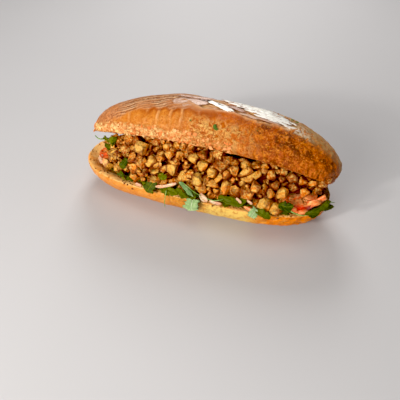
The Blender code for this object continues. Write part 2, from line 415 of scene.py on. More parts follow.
def roll_coordinates(points, normals):
    """For each point of the bread: station, turn, rise above the lip, and shares of crown and of cut face."""
    x, y, z = (points - np.array(MIDDLE)).T
    station = np.clip((x - CROWN_SHIFT) / HALF_LENGTH, -1.0, 1.0)
    out, up = y - CLOSED_HINGE, z - HEEL_TOP + CROWN_TILT * station
    across = CLOSED_HINGE + out * math.cos(OPENING) - up * math.sin(OPENING)
    height = out * math.sin(OPENING) + up * math.cos(OPENING)
    height -= CROWN_ARCH * np.maximum(0.0, 1.0 - station**2) * np.maximum(0.0, CLOSED_HINGE - across) / (2 * HALF_WIDTH)
    crown = (height > -0.0012) & (z > HEEL_TOP - 0.003)
    facing = normals[:, 1] * math.sin(OPENING) + normals[:, 2] * math.cos(OPENING)
    crown_cut = crown & (facing < -0.55) & (height < 0.0045)
    heel_cut = ~crown & (normals[:, 2] > 0.45) & (z > HEEL_TOP - 0.0065)
    heel_station = np.clip((x - HEEL_SHIFT) / HALF_LENGTH, -1.0, 1.0)
    drop = np.clip((HEEL_TOP - z) / (HEEL_TOP * 1.05), 0.0, 1.0) ** 1.2
    side = np.where(crown, across / half_width(station), y / half_width(heel_station))
    high = np.where(crown, np.clip(height / crown_top(station), 0.0, 1.0) ** 1.2, drop)
    turn = np.arctan2(high, -np.sign(side) * np.abs(side) ** 1.2) / math.pi
    rise = np.where(crown, height, HEEL_TOP - z)
    return (
        np.where(crown, station, heel_station),
        turn,
        rise,
        crown.astype(float),
        (crown_cut | heel_cut).astype(float),
    )


def scar_edges(station):
    """Where the baker's cut begins and ends round the crown, as turns, at a station along it."""
    front = 0.242 + 0.012 * np.sin(station * 14.0) + 0.02 * station
    back = 0.56 - 0.05 * station
    ends = smooth(station, -0.30, -0.02) * (1.0 - smooth(station, 0.54, 0.70))
    return front + (1.0 - ends) * 0.10, back - (1.0 - ends) * 0.12, ends


# Upright ridges between the blisters low on the crown's left half: places along the roll in mm, and heights.
RIDGES = (
    (-97.0, 0.2), (-84.0, 0.45), (-71.5, 0.3), (-63.0, 0.5), (-49.0, 0.6), (-37.5, 1.0), (-26.0, 0.9),
    (-17.0, 1.0), (-3.0, 0.35), (6.0, 0.25), (13.5, 0.7), (27.0, 0.2), (41.0, 0.0),
)


# ---- bread ---------------------------------------------------------------------------------------
def bread_finish():
    """Oven-browned crust that turns to crumb on the cut faces."""
    finish = Finish("roll_crust", {"Specular IOR Level": 0.40, "Specular Tint": (1.0, 0.76, 0.46, 1.0)})
    place = finish.place()
    station, turn, rise, crown, cut, groove = finish.attributes("station turn rise crown cut groove")
    scar, worn, dull, browned, lip, fan, folded = finish.attributes("scar worn dull browned lip fan folded")
    broad = finish.noise(place, 0.030, 2.0)
    cloud = finish.noise(place, 0.0090, 3.0, 0.6, 0.4)
    blotch = finish.noise(place, 0.0046, 4.0, 0.65, 0.6)
    speck = finish.noise(place, 0.0015, 3.0, 0.6)
    mottle = finish.noise(place, 0.0046, 3.0, 0.62, 1.4)
    crumbly = finish.noise(place, 0.0027, 3.0, 0.60, 1.0)
    streak = finish.noise(finish.stretch(place, (0.13, 1.0, 1.0)), 0.0015, 3.0, 0.6, 0.3)
    uneven, plate_size = finish.warped(place, 0.0030, 0.0035), 0.0029
    grit = finish.axis(finish.cells(uneven, 0.0017, "F1", "Color"), 0)
    flaky = finish.axis(finish.cells(uneven, plate_size, "F1", "Color"), 1)
    split = finish.cells(uneven, plate_size, "DISTANCE_TO_EDGE").ease(0.12, 0.01)
    fissure = finish.cells(finish.warped(place, 0.0040, 0.0036), 0.0046, "DISTANCE_TO_EDGE").ease(0.15, 0.03)
    pores = finish.cells(place, 0.0034).ease(0.10, 0.34)
    ripple = ((fan + mottle * 1.1) * math.pi).through("SINE").through("ABSOLUTE")
    left, right = station.ease(0.15, -0.35), station.ease(-0.02, 0.50)

    golden = finish.over(
        finish.between(broad.ease(0.35, 0.65), (188, 82, 0), (202, 99, 0)),
        (left * 0.62, 216, 142, 64),
        (blotch.ease(0.52, 0.70) * 0.45, 180, 80, 6),
        (cloud.ease(0.44, 0.30) * 0.40, 236, 158, 68),
        (mottle.ease(0.50, 0.64) * left * 0.35, 244, 178, 100),
        (crumbly.ease(0.44, 0.34) * 0.45, 184, 84, 12),
        (speck.ease(0.58, 0.66) * left * 0.5, 194, 100, 36),
    )
    toasted = finish.over(
        finish.between(cloud.ease(0.38, 0.62), (176, 76, 2), (130, 48, 1)),
        (blotch.ease(0.47, 0.36) * 0.8, 230, 136, 34),
        (crumbly.ease(0.53, 0.62) * 0.7, 238, 148, 46),
    )
    spots = (blotch + (cloud - 0.5) * 0.9).ease(0.51, 0.61) * station.ease(0.12, 0.55) * turn.ease(0.04, 0.12)
    crust = finish.over(
        finish.mix(right * (0.62 + 0.50 * cloud).least(1.0), golden, toasted),
        (rise.ease(0.042, 0.026) * station.ease(0.52, 0.85) * 0.40, 232, 122, 30),
        (station.ease(0.80, 0.99) * 0.40, 204, 94, 16),
        (spots * 0.78, 98, 38, 8),
        (speck.ease(0.52, 0.62) * right * 0.45, 110, 44, 4),
        (speck.ease(0.42, 0.32) * (0.25 + 0.30 * right), 250, 170, 74),
        (speck.ease(0.60, 0.68) * (1.0 - right) * 0.35, 160, 72, 14),
    )
    tan = finish.over(
        finish.between(cloud.ease(0.35, 0.65), (178, 112, 72), (202, 144, 106)),
        (station.ease(-0.45, -0.75) * mottle.ease(0.44, 0.60) * 0.75, 226, 148, 96),
        (station.ease(-0.40, -0.80) * crumbly.ease(0.48, 0.40) * 0.8, 138, 70, 38),
        # Painted highlight along the ridges of the folds and painted shade in the lines between them.
        (ripple.ease(0.55, 0.95) * folded * 0.85, 240, 200, 164),
        (ripple.ease(0.50, 0.04) * folded * 0.95, 124, 66, 34),
    )
    dusty = turn.ease(0.19, 0.31) * station.ease(0.48, 0.70) * (blotch + speck * 0.5).ease(0.58, 0.82)
    flour = station.ease(0.46, 0.56) * station.ease(0.78, 0.64) * turn.ease(0.225, 0.265) * turn.ease(0.42, 0.34)
    crust = finish.over(
        finish.mix(dull * 0.90, crust, tan),
        (browned * (0.65 + 0.6 * cloud).least(1.0), 164, 74, 14),
        (dusty * turn.ease(0.80, 0.50) * 0.85, 222, 178, 116),
        (flour * mottle.ease(0.42, 0.54) * 0.9, 244, 222, 198),
    )

    # Dry crackled plates low on the crown, then its pale crumbly lip, its grooves and the baker's cut.
    crackled = rise.ease(0.029, 0.017) * station.ease(-0.24, -0.04) * station.ease(0.46, 0.14)
    crackled = crackled * (cloud + blotch * 0.5).ease(0.50, 0.80) * turn.ease(0.60, 0.40)
    dry = finish.between(flaky, (232, 138, 58), (246, 188, 112))
    dry = finish.over(dry, (mottle.ease(0.44, 0.56) * 0.6, 255, 210, 128))
    crust = finish.mix(crackled * mottle.ease(0.40, 0.52) * 0.80, crust, dry)
    crust = finish.over(crust, (crackled * fissure * crumbly.ease(0.60, 0.46) * 0.60, 164, 68, 22))
    pale = finish.over(
        finish.between(mottle.ease(0.42, 0.57), (228, 134, 74), (248, 192, 126)),
        (crumbly.ease(0.52, 0.60) * 0.85, 252, 224, 160),
        (crumbly.ease(0.44, 0.36) * 0.80, 196, 96, 44),
        (speck.ease(0.60, 0.68) * 0.60, 150, 66, 26),
        (split * 0.30, 188, 88, 36),
        (station.ease(-0.28, 0.05) * 0.50, 222, 130, 46),
    )
    crust = finish.mix((lip + (mottle - 0.5) * 2.4 * lip).least(1.0), crust, pale)
    crust = finish.over(crust, (groove * 0.55, 136, 62, 16), (worn * 0.60, 246, 196, 146))
    torn = finish.between(streak.ease(0.40, 0.60), (180, 96, 36), (240, 196, 140))
    crust = finish.mix(scar, crust, torn)

    creamy = station.ease(0.0, 0.20) * station.ease(0.58, 0.40) * turn.ease(0.70, 0.30)
    under = finish.over(
        finish.between(cloud.ease(0.35, 0.65), (214, 122, 22), (232, 158, 54)),
        (station.ease(0.05, -0.45) * 0.45, 224, 124, 26),
        (creamy * 0.9, 255, 218, 120),
        (station.ease(0.42, 0.66) * 0.80, 255, 140, 14),
        (blotch.ease(0.52, 0.64) * 0.60, 206, 108, 26),
        (cloud.ease(0.46, 0.34) * 0.40, 250, 194, 100),
        (grit * station.ease(0.05, -0.25) * rise.ease(0.016, 0.004) * 0.4, 246, 186, 110),
        # Low on the heel the crust turns duller and darker: dull like its floury underside, and painted shade along the
        # bottom edge.
        (rise.ease(0.020, 0.027) * 0.55, 196, 124, 54),
        (groove * 0.55, 170, 82, 18),
    )
    crumb = finish.between(cloud.ease(0.35, 0.65), (248, 170, 86), (254, 204, 134))
    # Painted shade: the crown's cut face, under its lip, is painted darker than the heel's.
    crumb = finish.over(crumb, (crown * 0.9, 150, 70, 26))
    crumb = finish.mix(pores, rgb(212, 134, 70), crumb)
    ragged = (cut + (blotch - 0.5) * 0.5).ease(0.55, 0.75)
    colour = finish.mix(ragged, finish.mix(crown, under, crust), crumb)
    colour = finish.over(colour, (speck.ease(0.62, 0.72) * 0.35, 140, 70, 24))
    colour = finish.mix(1.0, colour, rgb(243, 239, 226), "MULTIPLY")

    gloss = 0.24 + 0.20 * cloud + 0.34 * lip + 0.22 * dull + 0.10 * right
    rough = finish.node("ShaderNodeMix", {"data_type": "FLOAT"}, {0: ragged, 2: gloss.least(0.85), 3: 0.9})
    height = speck * (0.45 + 0.9 * right) + blotch * (0.8 + 1.2 * right) + (crumbly * 3.0 + grit * 0.4) * lip
    height = height + (1.0 - pores) * ragged * -2.2 + streak * scar * 1.4 - crackled * split * 0.6
    height = height + ripple * folded * 2.2 + mottle * crackled * 1.5 + cloud * left * 0.8
    return finish.feed(colour, rough, finish.bump(height, 0.0008, 0.85))


def bread_relief(mesh):
    """Moves the crust's points for folds, stretch marks, pebbling and the baker's cut, and notes where they are."""
    points, normals = points_of(mesh), normals_of(mesh)
    station, turn, rise, crown, cut = roll_coordinates(points, normals)
    cut = spread(mesh, cut, 3)
    x = points[:, 0]
    around = turn * 0.120
    bend = grain(points, 0.014, 3.0)
    small = grain(points, 0.0045, 8.0)
    pebble = grain(points, 0.0026, 21.0)
    wide = grain(points, 0.024, 14.0)

    # Upright ridges between blisters, low on the crown's left half.
    places, heights = np.array(RIDGES).T
    marks = np.interp(x + bend * 0.0022 + small * 0.0006 + (around - 0.012) * 0.10, places * MM, np.arange(len(places)))
    tall = heights[np.round(marks).astype(int)]
    apart = 1.0 - np.abs(marks - np.round(marks)) * 2.0
    edge_of_dull = 0.180 + 0.030 * tall * (1.0 - apart) + 0.024 * bend + 0.018 * small
    edge_of_dull = edge_of_dull - 0.120 * smooth(-station, 0.50, 0.82) + 0.020 * smooth(station, -0.25, 0.1)
    blister = smooth(station, -0.86, -0.74) * (1.0 - smooth(station, 0.10, 0.30))
    blister = (blister * smooth(turn, 0.030, 0.065)
               * (1.0 - smooth(turn, edge_of_dull - 0.01, edge_of_dull + 0.012)) * crown)
    crest = smooth(apart, 0.72, 0.97) * smooth(turn, 0.05, 0.12) * tall * smooth(bend + small, -0.7, 0.1)
    blisters = (crest * 0.00060
                - smooth(apart, 0.35, 0.68) * (1.0 - smooth(apart, 0.68, 0.9)) * 0.00035 * tall) * blister

    # Folds in the dull crust above them, that fan out from the top of the crown to its left end.
    lean = math.radians(28.0) + 0.25 * station
    fan = (-x * np.sin(lean) + around * np.cos(lean)) / 0.0033 + bend * 1.1 + small * 0.2
    wave = np.abs(np.sin(fan * math.pi * 0.5))
    blur = 0.008 + 0.030 * smooth(-station, 0.45, 0.75)
    dull = smooth(turn, edge_of_dull - blur, edge_of_dull + blur) * (1.0 - smooth(turn, 0.60, 0.72)) * crown
    dull = dull * (1.0 - smooth(station, -0.08, 0.04)) * (0.75 + 0.25 * smooth(bend + small, -0.6, 0.4))
    fold = dull * (1.0 - smooth(station, -0.30, -0.14)) * smooth(station, -0.80, -0.58)
    fold = fold * (0.35 + 0.65 * smooth(bend, -0.4, 0.1)) * (1.0 - 0.92 * smooth(turn, 0.34, 0.45))
    folds = (wave**0.8 - 0.6) * 0.00110 * fold
    gap = smooth(apart, 0.25, 0.66) * (1.0 - smooth(apart, 0.66, 0.9)) * 0.6 * tall
    browned = smooth(turn, edge_of_dull - 0.040, edge_of_dull - 0.008) * (1.0 - dull) * crown
    browned = browned * smooth(station, -0.62, -0.40) * (1.0 - smooth(station, 0.0, 0.15)) * (1.0 - crest)
    browned = browned * (1.0 - smooth(turn, 0.30, 0.42))

    # Pebbled crust on the right half, and crumbly crust along the lip.
    pebbled = smooth(station, 0.0, 0.4) * crown
    front_half = 1.0 - smooth(turn, 0.45, 0.65)
    lip = (1.0 - smooth(rise, 0.006, 0.012)) * (1.0 - cut) * crown * front_half
    split = cracks(points, 0.0036, 5.0)
    cracked = (1.0 - smooth(split, 0.0, 0.20)) * np.maximum(lip * 0.9, pebbled * 0.35)

    # The baker's cut: a torn band behind a raised ear.
    front, back, ends = scar_edges(station)
    front = front + small * 0.012
    inside = smooth(turn, front, front + 0.012) * (1.0 - smooth(turn, back, back + 0.03)) * ends * crown
    ear = np.exp(-(((turn - front + 0.012) / 0.014) ** 2)) * ends * crown
    strata = grain(points / (0.013, 0.0021, 0.0021), 1.0)

    # The heel is smoother, wrinkled along its right end.
    heel = (1.0 - crown) * (1.0 - cut)
    creep = grain(points / (0.0080, 0.0026, 0.0026) + (0.0, 0.0, 4.0), 1.0)
    wrinkled = smooth(station, 0.34, 0.60) * heel

    near_lip = (1.0 - smooth(rise, 0.002, 0.009)) * crown * front_half
    ragged_lip = grain(points, 0.0075, 31.0) * 0.0016 + small * 0.0011
    move = -0.00050 + wide * 0.00030 + small * (0.00018 + 0.00034 * pebbled) + near_lip * (ragged_lip - 0.0003)
    move = move + folds + blisters - cracked * 0.00045
    move = move + pebble * (0.00010 + 0.00030 * pebbled + 0.00036 * lip)
    move = move + ear * 0.00055 - inside * (0.00095 - strata * 0.00065)
    move = move + wrinkled * (creep * 0.00095 - 0.0003) + heel * small * 0.0003
    move = move * (1.0 - cut) + cut * (np.minimum(pebble, 0.1) * 0.0006 + small * 0.0003 - 0.0004)
    flat = (points[:, 2] < 0.0006) & (normals[:, 2] < -0.7)
    move = np.where(flat, np.minimum(move, 0.0) * 0.4, move)
    write_points(mesh, points + normals * move[:, None])

    grooves = gap * blister * 0.7 + cracked * 0.6 * (1.0 - lip * 0.5)
    grooves = grooves + wrinkled * smooth(-creep, 0.12, 0.4) * 0.8
    lip_band = 1.0 - smooth(rise, 0.0060 + 0.0026 * bend, 0.0115 + 0.0026 * bend)
    lip_band = lip_band * crown * front_half
    lip_band = lip_band * (1.0 - 0.40 * smooth(station, -0.45, -0.10) - 0.57 * smooth(station, 0.0, 0.42))
    worn = ear * 0.8 + crest * blister * (0.40 + 0.50 * smooth(small, -0.2, 0.5))
    crown = spread(mesh, crown, 2)
    for name, values in dict(station=station, turn=turn, rise=rise, crown=crown, cut=cut, fan=fan).items():
        note(mesh, name, values)
    shares = dict(groove=grooves, worn=worn, folded=fold, dull=dull, browned=browned, lip=lip_band)
    for name, values in shares.items():
        note(mesh, name, np.clip(values, 0.0, 1.0))
    note(mesh, "scar", np.clip(spread(mesh, inside, 1), 0.0, 1.0))


def make_bread():
    bread = merged_copy("bread_roll", "roll")
    finish_with(bread, "REMESH", mode="VOXEL", voxel_size=CRUST_VOXEL, use_smooth_shade=True)
    finish_with(bread, "SMOOTH", factor=0.5, iterations=4)
    bread_relief(bread.data)
    write_points(bread.data, np.clip(points_of(bread.data), LOWEST, HIGHEST))
    return dressed(bread, bread_finish())


# ---- flakes of crust -----------------------------------------------------------------------------
def flake_finish():
    """tone is 0 for white and papery, the white partly a painted glare, 1 for tan and 2 for brown."""
    finish = Finish("lifted_crust", {"Specular IOR Level": 0.6})
    place, tone = finish.place(), finish.attribute("tone")
    streak = finish.noise(finish.stretch(place, (0.10, 1.0, 1.0)), 0.0011, 3.0, 0.6, 0.2)
    cloud = finish.noise(place, 0.0050, 3.0)
    # Painted glare: the white of the papery flakes stands partly for the back light's glare on them.
    papery_and_glare = finish.between(streak.ease(0.36, 0.44), (160, 100, 58), (255, 252, 242))
    papery_and_glare = finish.over(papery_and_glare, (cloud.ease(0.58, 0.74) * 0.3, 240, 206, 160))
    tan = finish.between(cloud.ease(0.4, 0.6), (174, 124, 92), (194, 150, 120))
    colour = finish.over(finish.mix(tone.least(1.0), papery_and_glare, tan), ((tone - 1.0).most(0.0), 138, 76, 30))
    return finish.feed(colour, 0.22 + 0.25 * cloud, finish.bump(streak + cloud * 0.5, 0.0005, 0.6))


def flake(start, end, width, lift, curl, tone, seed):
    """A thin torn plate of crust along the crown from start to end, as (station, turn in degrees)."""
    length = math.dist((start[0] * HALF_LENGTH, start[1] * 0.00065), (end[0] * HALF_LENGTH, end[1] * 0.00065))
    columns = max(5, int(length / 0.0016))
    bpy.ops.mesh.primitive_grid_add(x_subdivisions=columns, y_subdivisions=5, size=2.0)
    obj = bpy.context.object
    for vertex in obj.data.vertices:
        u, v = vertex.co.x, vertex.co.y
        along = (u + 1.0) / 2.0
        ragged = 1.0 + 0.55 * noise.noise(Vector((u * length * 160.0, v * 0.6, seed)))
        narrow = max(0.06, 1.0 - abs(u) ** 2.5) ** 0.7
        drift = 1.6 * noise.noise(Vector((u * 2.2, seed, 0.0)))
        s = start[0] + (end[0] - start[0]) * along + 0.008 * noise.noise(Vector((v * 3.0, seed, u)))
        t = start[1] + (end[1] - start[1]) * along + v * width * 0.5 * narrow * ragged + drift
        rim = abs(v) ** 2.5 * curl * (1.0 + noise.noise(Vector((u * 5.0, seed, 7.0))))
        wave = 0.00025 * noise.noise(Vector((u * length * 90.0, v * 2.0, seed)))
        vertex.co = crown_point(s, t / 180.0, lift + rim + wave)
        vertex.co.z = min(vertex.co.z, 0.0948)
    obj.data.update()
    finish_with(obj, "SOLIDIFY", thickness=0.00035, offset=-1.0)
    note(obj.data, "tone", np.full(len(obj.data.vertices), tone))
    return obj


# Flakes of crust: start and end as (station, turn in degrees), width in degrees, lift, curl, tone, chance.
FLAKES = (
    ((-0.31, 50), (-0.04, 54), 20.0, -0.0005, 0.0002, 1.0, 1.0),
    ((-0.30, 63), (0.00, 66), 5.0, 0.0002, 0.0006, 1.4, 2.0),
    ((-0.12, 60), (-0.03, 61), 5.0, 0.0003, 0.0004, 2.0, 3.0),
    ((-0.09, 65), (0.15, 43.5), 7.0, -0.0004, 0.0002, 0.00, 4.0),
    ((0.01, 60), (0.16, 47), 4.5, -0.0004, 0.0003, 0.10, 16.0),
    ((0.06, 72), (0.50, 71), 7.0, -0.0003, 0.0005, 0.00, 6.0),
    ((0.09, 66), (0.55, 66), 5.5, -0.0004, 0.0004, 0.00, 7.0),
    ((0.16, 61), (0.60, 61), 5.5, -0.0004, 0.0004, 0.00, 8.0),
    ((0.22, 56), (0.57, 56), 5.0, -0.0004, 0.0004, 0.05, 9.0),
    ((0.30, 50.5), (0.54, 51), 5.0, -0.0004, 0.0004, 0.10, 10.0),
    ((0.10, 57), (0.24, 49), 6.0, -0.0005, 0.0006, 1.7, 11.0),
    ((0.52, 49), (0.64, 52), 5.0, -0.0005, 0.0003, 0.25, 12.0),
    ((0.02, 79), (0.44, 80), 8.0, -0.0004, 0.0005, 0.20, 13.0),
    ((0.12, 88), (0.52, 87), 7.0, -0.0005, 0.0005, 0.50, 14.0),
    ((0.20, 44.5), (0.50, 45.5), 2.6, 0.0001, 0.0003, 0.9, 15.0),
)


def make_flakes():
    return dressed(joined([flake(*plate) for plate in FLAKES], "crust_flakes"), flake_finish())


def make_lip_crumbs(bread):
    """Crumbs of crust that stand out along the crown's front lip."""
    rng = random.Random(17)
    mesh = bread.data
    share = np.empty(len(mesh.vertices))
    mesh.attributes["lip"].data.foreach_get("value", share)
    sizes = [rng.triangular(1.2, 3.6, 1.8) * MM for _ in range(420)]
    shapes = [die_shape(seed) for seed in range(50, 56)]
    crumbs = []
    for point, normal, side in spread_spots(mesh, rng, sizes, lambda face: share[face.vertices[0]] > 0.30):
        crumb = copied(rng.choice(shapes))
        tone = rng.random() * (1.0 - 0.60 * float(smooth(point.x, -0.060, 0.005)))
        note(crumb.data, "tone", np.full(len(crumb.data.vertices), tone))
        size = Vector([side * rng.uniform(*ends) for ends in ((0.8, 1.3), (0.8, 1.2), (0.40, 0.65))])
        turned = normal.to_track_quat("Z", "Y") @ Quaternion((0.0, 0.0, 1.0), rng.uniform(0.0, math.tau))
        crumbs.append(placed(crumb, Matrix.LocRotScale(point - normal * size.z * 0.22, turned, size)))
    for shape in shapes:
        bpy.data.objects.remove(shape)
    finish = Finish("crumbly_lip", {"Specular IOR Level": 0.4, "Specular Tint": (1.0, 0.82, 0.62, 1.0)})
    place, tone = finish.place(), finish.attribute("tone")
    cloud = finish.noise(place, 0.0022, 3.0)
    colour = finish.over(
        finish.between(tone, (220, 118, 52), (252, 206, 140)),
        (cloud.ease(0.50, 0.66) * tone * 0.8, 255, 230, 168),
        (cloud.ease(0.46, 0.34) * 0.6, 200, 98, 42),
    )
    crumbly = finish.feed(colour, 0.45 + 0.3 * cloud, finish.bump(cloud, 0.0006, 0.8))
    return dressed(joined(crumbs, "lip_crumbs"), crumbly, 40.0)


# ---- chicken -------------------------------------------------------------------------------------
def chicken_finish():
    """Seared, oily chicken. own is a point's place in its own die. Painted shade darkens the gaps between dice, their
    lower sides and the sides turned away from the light, and a painted highlight lies on the sides turned towards it.
    """
    finish = Finish("seared_chicken", {"Specular IOR Level": 0.9, "Specular Tint": (1.0, 0.74, 0.38, 1.0)})
    own, tone = finish.attribute("own", "Vector"), finish.attribute("tone")
    sear, deep, saucy = finish.attributes("sear deep saucy")
    place = finish.place()
    fibre = finish.noise(finish.stretch(own, (1.0, 0.45, 1.0)), 0.0016, 3.0, 0.62, 0.6)
    patch = finish.noise(place, 0.0034, 4.0, 0.65, 0.8)
    spice = finish.noise(place, 0.0012, 2.0, 0.6)
    calm = 0.35 + 0.65 * tone.ease(0.0, 0.20)
    # Painted light on the dice: a highlight on the sides turned towards the upper front left, shade on the sides turned
    # away.
    painted_lit_side = (1.0 - saucy).ease(0.10, 0.75)
    # Painted shade where other dice crowd in front of a point.
    painted_crevice_shade = (deep + (patch - 0.5) * 0.4).ease(0.48, 0.74)
    # The painted side shade also browns the tone.
    tone = tone + saucy * 0.52 - 0.06
    colour = finish.over(
        finish.between(tone.ease(0.0, 0.45), (255, 186, 74), (252, 136, 26)),
        (tone.ease(0.45, 1.0), 168, 66, 12),
        (tone.ease(0.0, -0.3), 246, 156, 106),
        # Painted highlight: pale fibres on the sides turned towards the light.
        (fibre.ease(0.44, 0.58) * painted_lit_side * 0.80, 255, 212, 116),
        (fibre.ease(0.46, 0.38) * calm * 0.42, 228, 108, 22),
        (patch.ease(0.54, 0.62) * calm * 0.52, 190, 70, 8),
        ((sear + (patch - 0.5) * 2.0 * sear).ease(0.35, 1.0) * 0.80, 124, 36, 4),
        (spice.ease(0.64, 0.70) * 0.20, 124, 40, 6),
        # Painted shade in the gaps between dice and on their lower sides.
        (painted_crevice_shade * 0.92, 128, 30, 4),
        (deep.ease(0.72, 1.00), 80, 18, 3),
    )
    relief = finish.bump(fibre * 1.6 + patch * 2.4 + spice * 0.2, 0.0014, 0.9)
    return finish.feed(colour, 0.12 + 0.34 * patch, relief)


def die_shape(seed):
    """One irregular die about 1 across: a divided cube with pushed points and a corner or two cut off."""
    rng = random.Random(seed)
    bpy.ops.mesh.primitive_cube_add(size=1.0)
    obj = bpy.context.object
    with editing(obj):
        bpy.ops.mesh.subdivide(number_cuts=2)
        for _ in range(3 + seed % 3):
            across = Vector([rng.uniform(-1, 1) for _ in range(3)]).normalized()
            middle = across * rng.uniform(0.31, 0.47)
            bpy.ops.mesh.select_all(action="SELECT")
            bpy.ops.mesh.bisect(plane_co=middle, plane_no=across, use_fill=True, clear_outer=True)
    close_up(obj, 0.07)
    lean = Vector([rng.uniform(-most, most) for most in (0.3, 0.3, 0.2)])
    for vertex in obj.data.vertices:
        co = vertex.co.copy()
        round_off = 1.0 - 0.06 * max(0.0, co.length - 0.5) / 0.36
        pinch = 1.0 + lean.x * co.z + lean.y * co.y
        bump = noise.noise_vector(co * 4.2 + Vector((seed * 3.1, 0.0, 0.0)))
        vertex.co = Vector((co.x * pinch, co.y * (1.0 + lean.z * co.x), co.z)) * round_off + bump * 0.14
    obj.data.update()
    return obj


def shred_shape(seed):
    """A layered, flaky piece: a die whose sides are stepped where its fibres part."""
    obj = die_shape(seed)
    for vertex in obj.data.vertices:
        layer = math.sin(vertex.co.z * 16.0 + seed) * 0.07
        vertex.co.x *= 1.25 + layer
        vertex.co.y *= 1.0 + layer
        vertex.co.z *= 0.8
    obj.data.update()
    return obj


def spread_spots(mesh, rng, sizes, wanted):
    """Places over a mesh for pieces of the sizes, largest first, each clear of the others: (point, normal, size)."""
    faces = [face for face in mesh.polygons if wanted(face)]
    weights = [face.area for face in faces]
    spots = []
    for size in sorted(sizes, reverse=True):
        for face in rng.choices(faces, weights, k=90):
            a, b, c = (mesh.vertices[i].co for i in face.vertices[:3])
            u, v = rng.random(), rng.random()
            if u + v > 1.0:
                u, v = 1.0 - u, 1.0 - v
            point = a + (b - a) * u + (c - a) * v
            if all((point - other).length > (size + next_size) * 0.47 for other, _, next_size in spots):
                spots.append((point, face.normal.copy(), size))
                break
    return spots


# Dice that stand out: place in mm, size in mm, turn in degrees, tone (0 pale, 1 brown), shape number.
CHOSEN_DICE = (
    ((-47.0, -30.0, 63.0), (11.5, 10.0, 10.5), (-25, 0, -20), -0.04, 0),
    ((-38.0, -32.0, 52.0), (10.5, 9.5, 10.5), (-20, 8, -15), -0.04, 1),
    ((-17.0, -34.0, 50.5), (11.0, 9.5, 10.5), (-28, 0, -25), 0.00, 2),
    ((-1.5, -29.0, 61.0), (8.0, 8.0, 8.0), (-20, 15, -12), 0.00, 3),
    ((42.5, -28.5, 57.5), (9.5, 6.5, 6.0), (25, -20, 20), 0.20, 10),
    ((50.0, -28.5, 55.5), (10.0, 6.0, 6.5), (15, -28, 30), 0.10, 11),
    ((45.5, -31.0, 52.5), (10.0, 5.5, 6.0), (10, -20, 10), 0.28, 12),
    ((29.5, -37.0, 44.5), (8.0, 9.0, 12.5), (0, 20, 10), 0.26, 4),
    ((38.0, -37.0, 43.5), (9.5, 9.0, 11.5), (10, -10, 40), 0.25, 5),
    ((47.0, -37.0, 43.5), (10.0, 9.0, 11.5), (0, 5, 15), 0.36, 6),
    ((62.5, -38.5, 36.5), (10.5, 9.5, 12.0), (-20, 10, -15), 0.10, 1),
    ((71.0, -38.5, 33.5), (9.5, 8.5, 10.0), (-15, 20, -20), 0.06, 7),
    ((75.0, -33.0, 47.5), (7.0, 6.5, 13.5), (20, 28, 20), 0.12, 11),
    ((-84.5, -26.5, 35.0), (9.0, 8.0, 13.5), (25, -30, 20), -0.30, 2),
    ((8.0, -37.5, 38.5), (9.5, 9.0, 13.0), (5, -12, 20), 0.12, 7),
    ((6.7, -32.5, 58.5), (8.5, 8.0, 8.0), (-22, 8, -22), 0.02, 4),
    ((16.0, -35.5, 54.5), (8.0, 7.5, 8.0), (-15, 12, -10), 0.08, 7),
    ((-62.5, -32.5, 39.5), (8.0, 7.5, 8.0), (-20, 5, -25), 0.05, 9),
    ((-27.6, -36.5, 36.0), (9.5, 7.5, 7.5), (-12, 5, 15), 0.22, 7),
    ((-69.0, -32.0, 36.5), (12.0, 9.5, 11.0), (30, 10, 60), 0.20, 5),
    ((-53.5, -36.5, 33.5), (9.0, 8.0, 9.5), (15, 35, 20), 0.36, 4),
    ((-35.0, -37.5, 36.0), (11.0, 7.0, 6.0), (10, 5, 10), 0.22, 6),
    ((91.0, -28.0, 48.0), (6.5, 6.0, 6.5), (20, 15, 50), 0.45, 8),
    ((103.0, -14.0, 50.5), (9.0, 6.0, 6.0), (20, 15, 20), 0.75, 11),
    ((107.5, -10.0, 51.5), (7.0, 5.0, 5.0), (10, -25, 30), 0.85, 12),
)


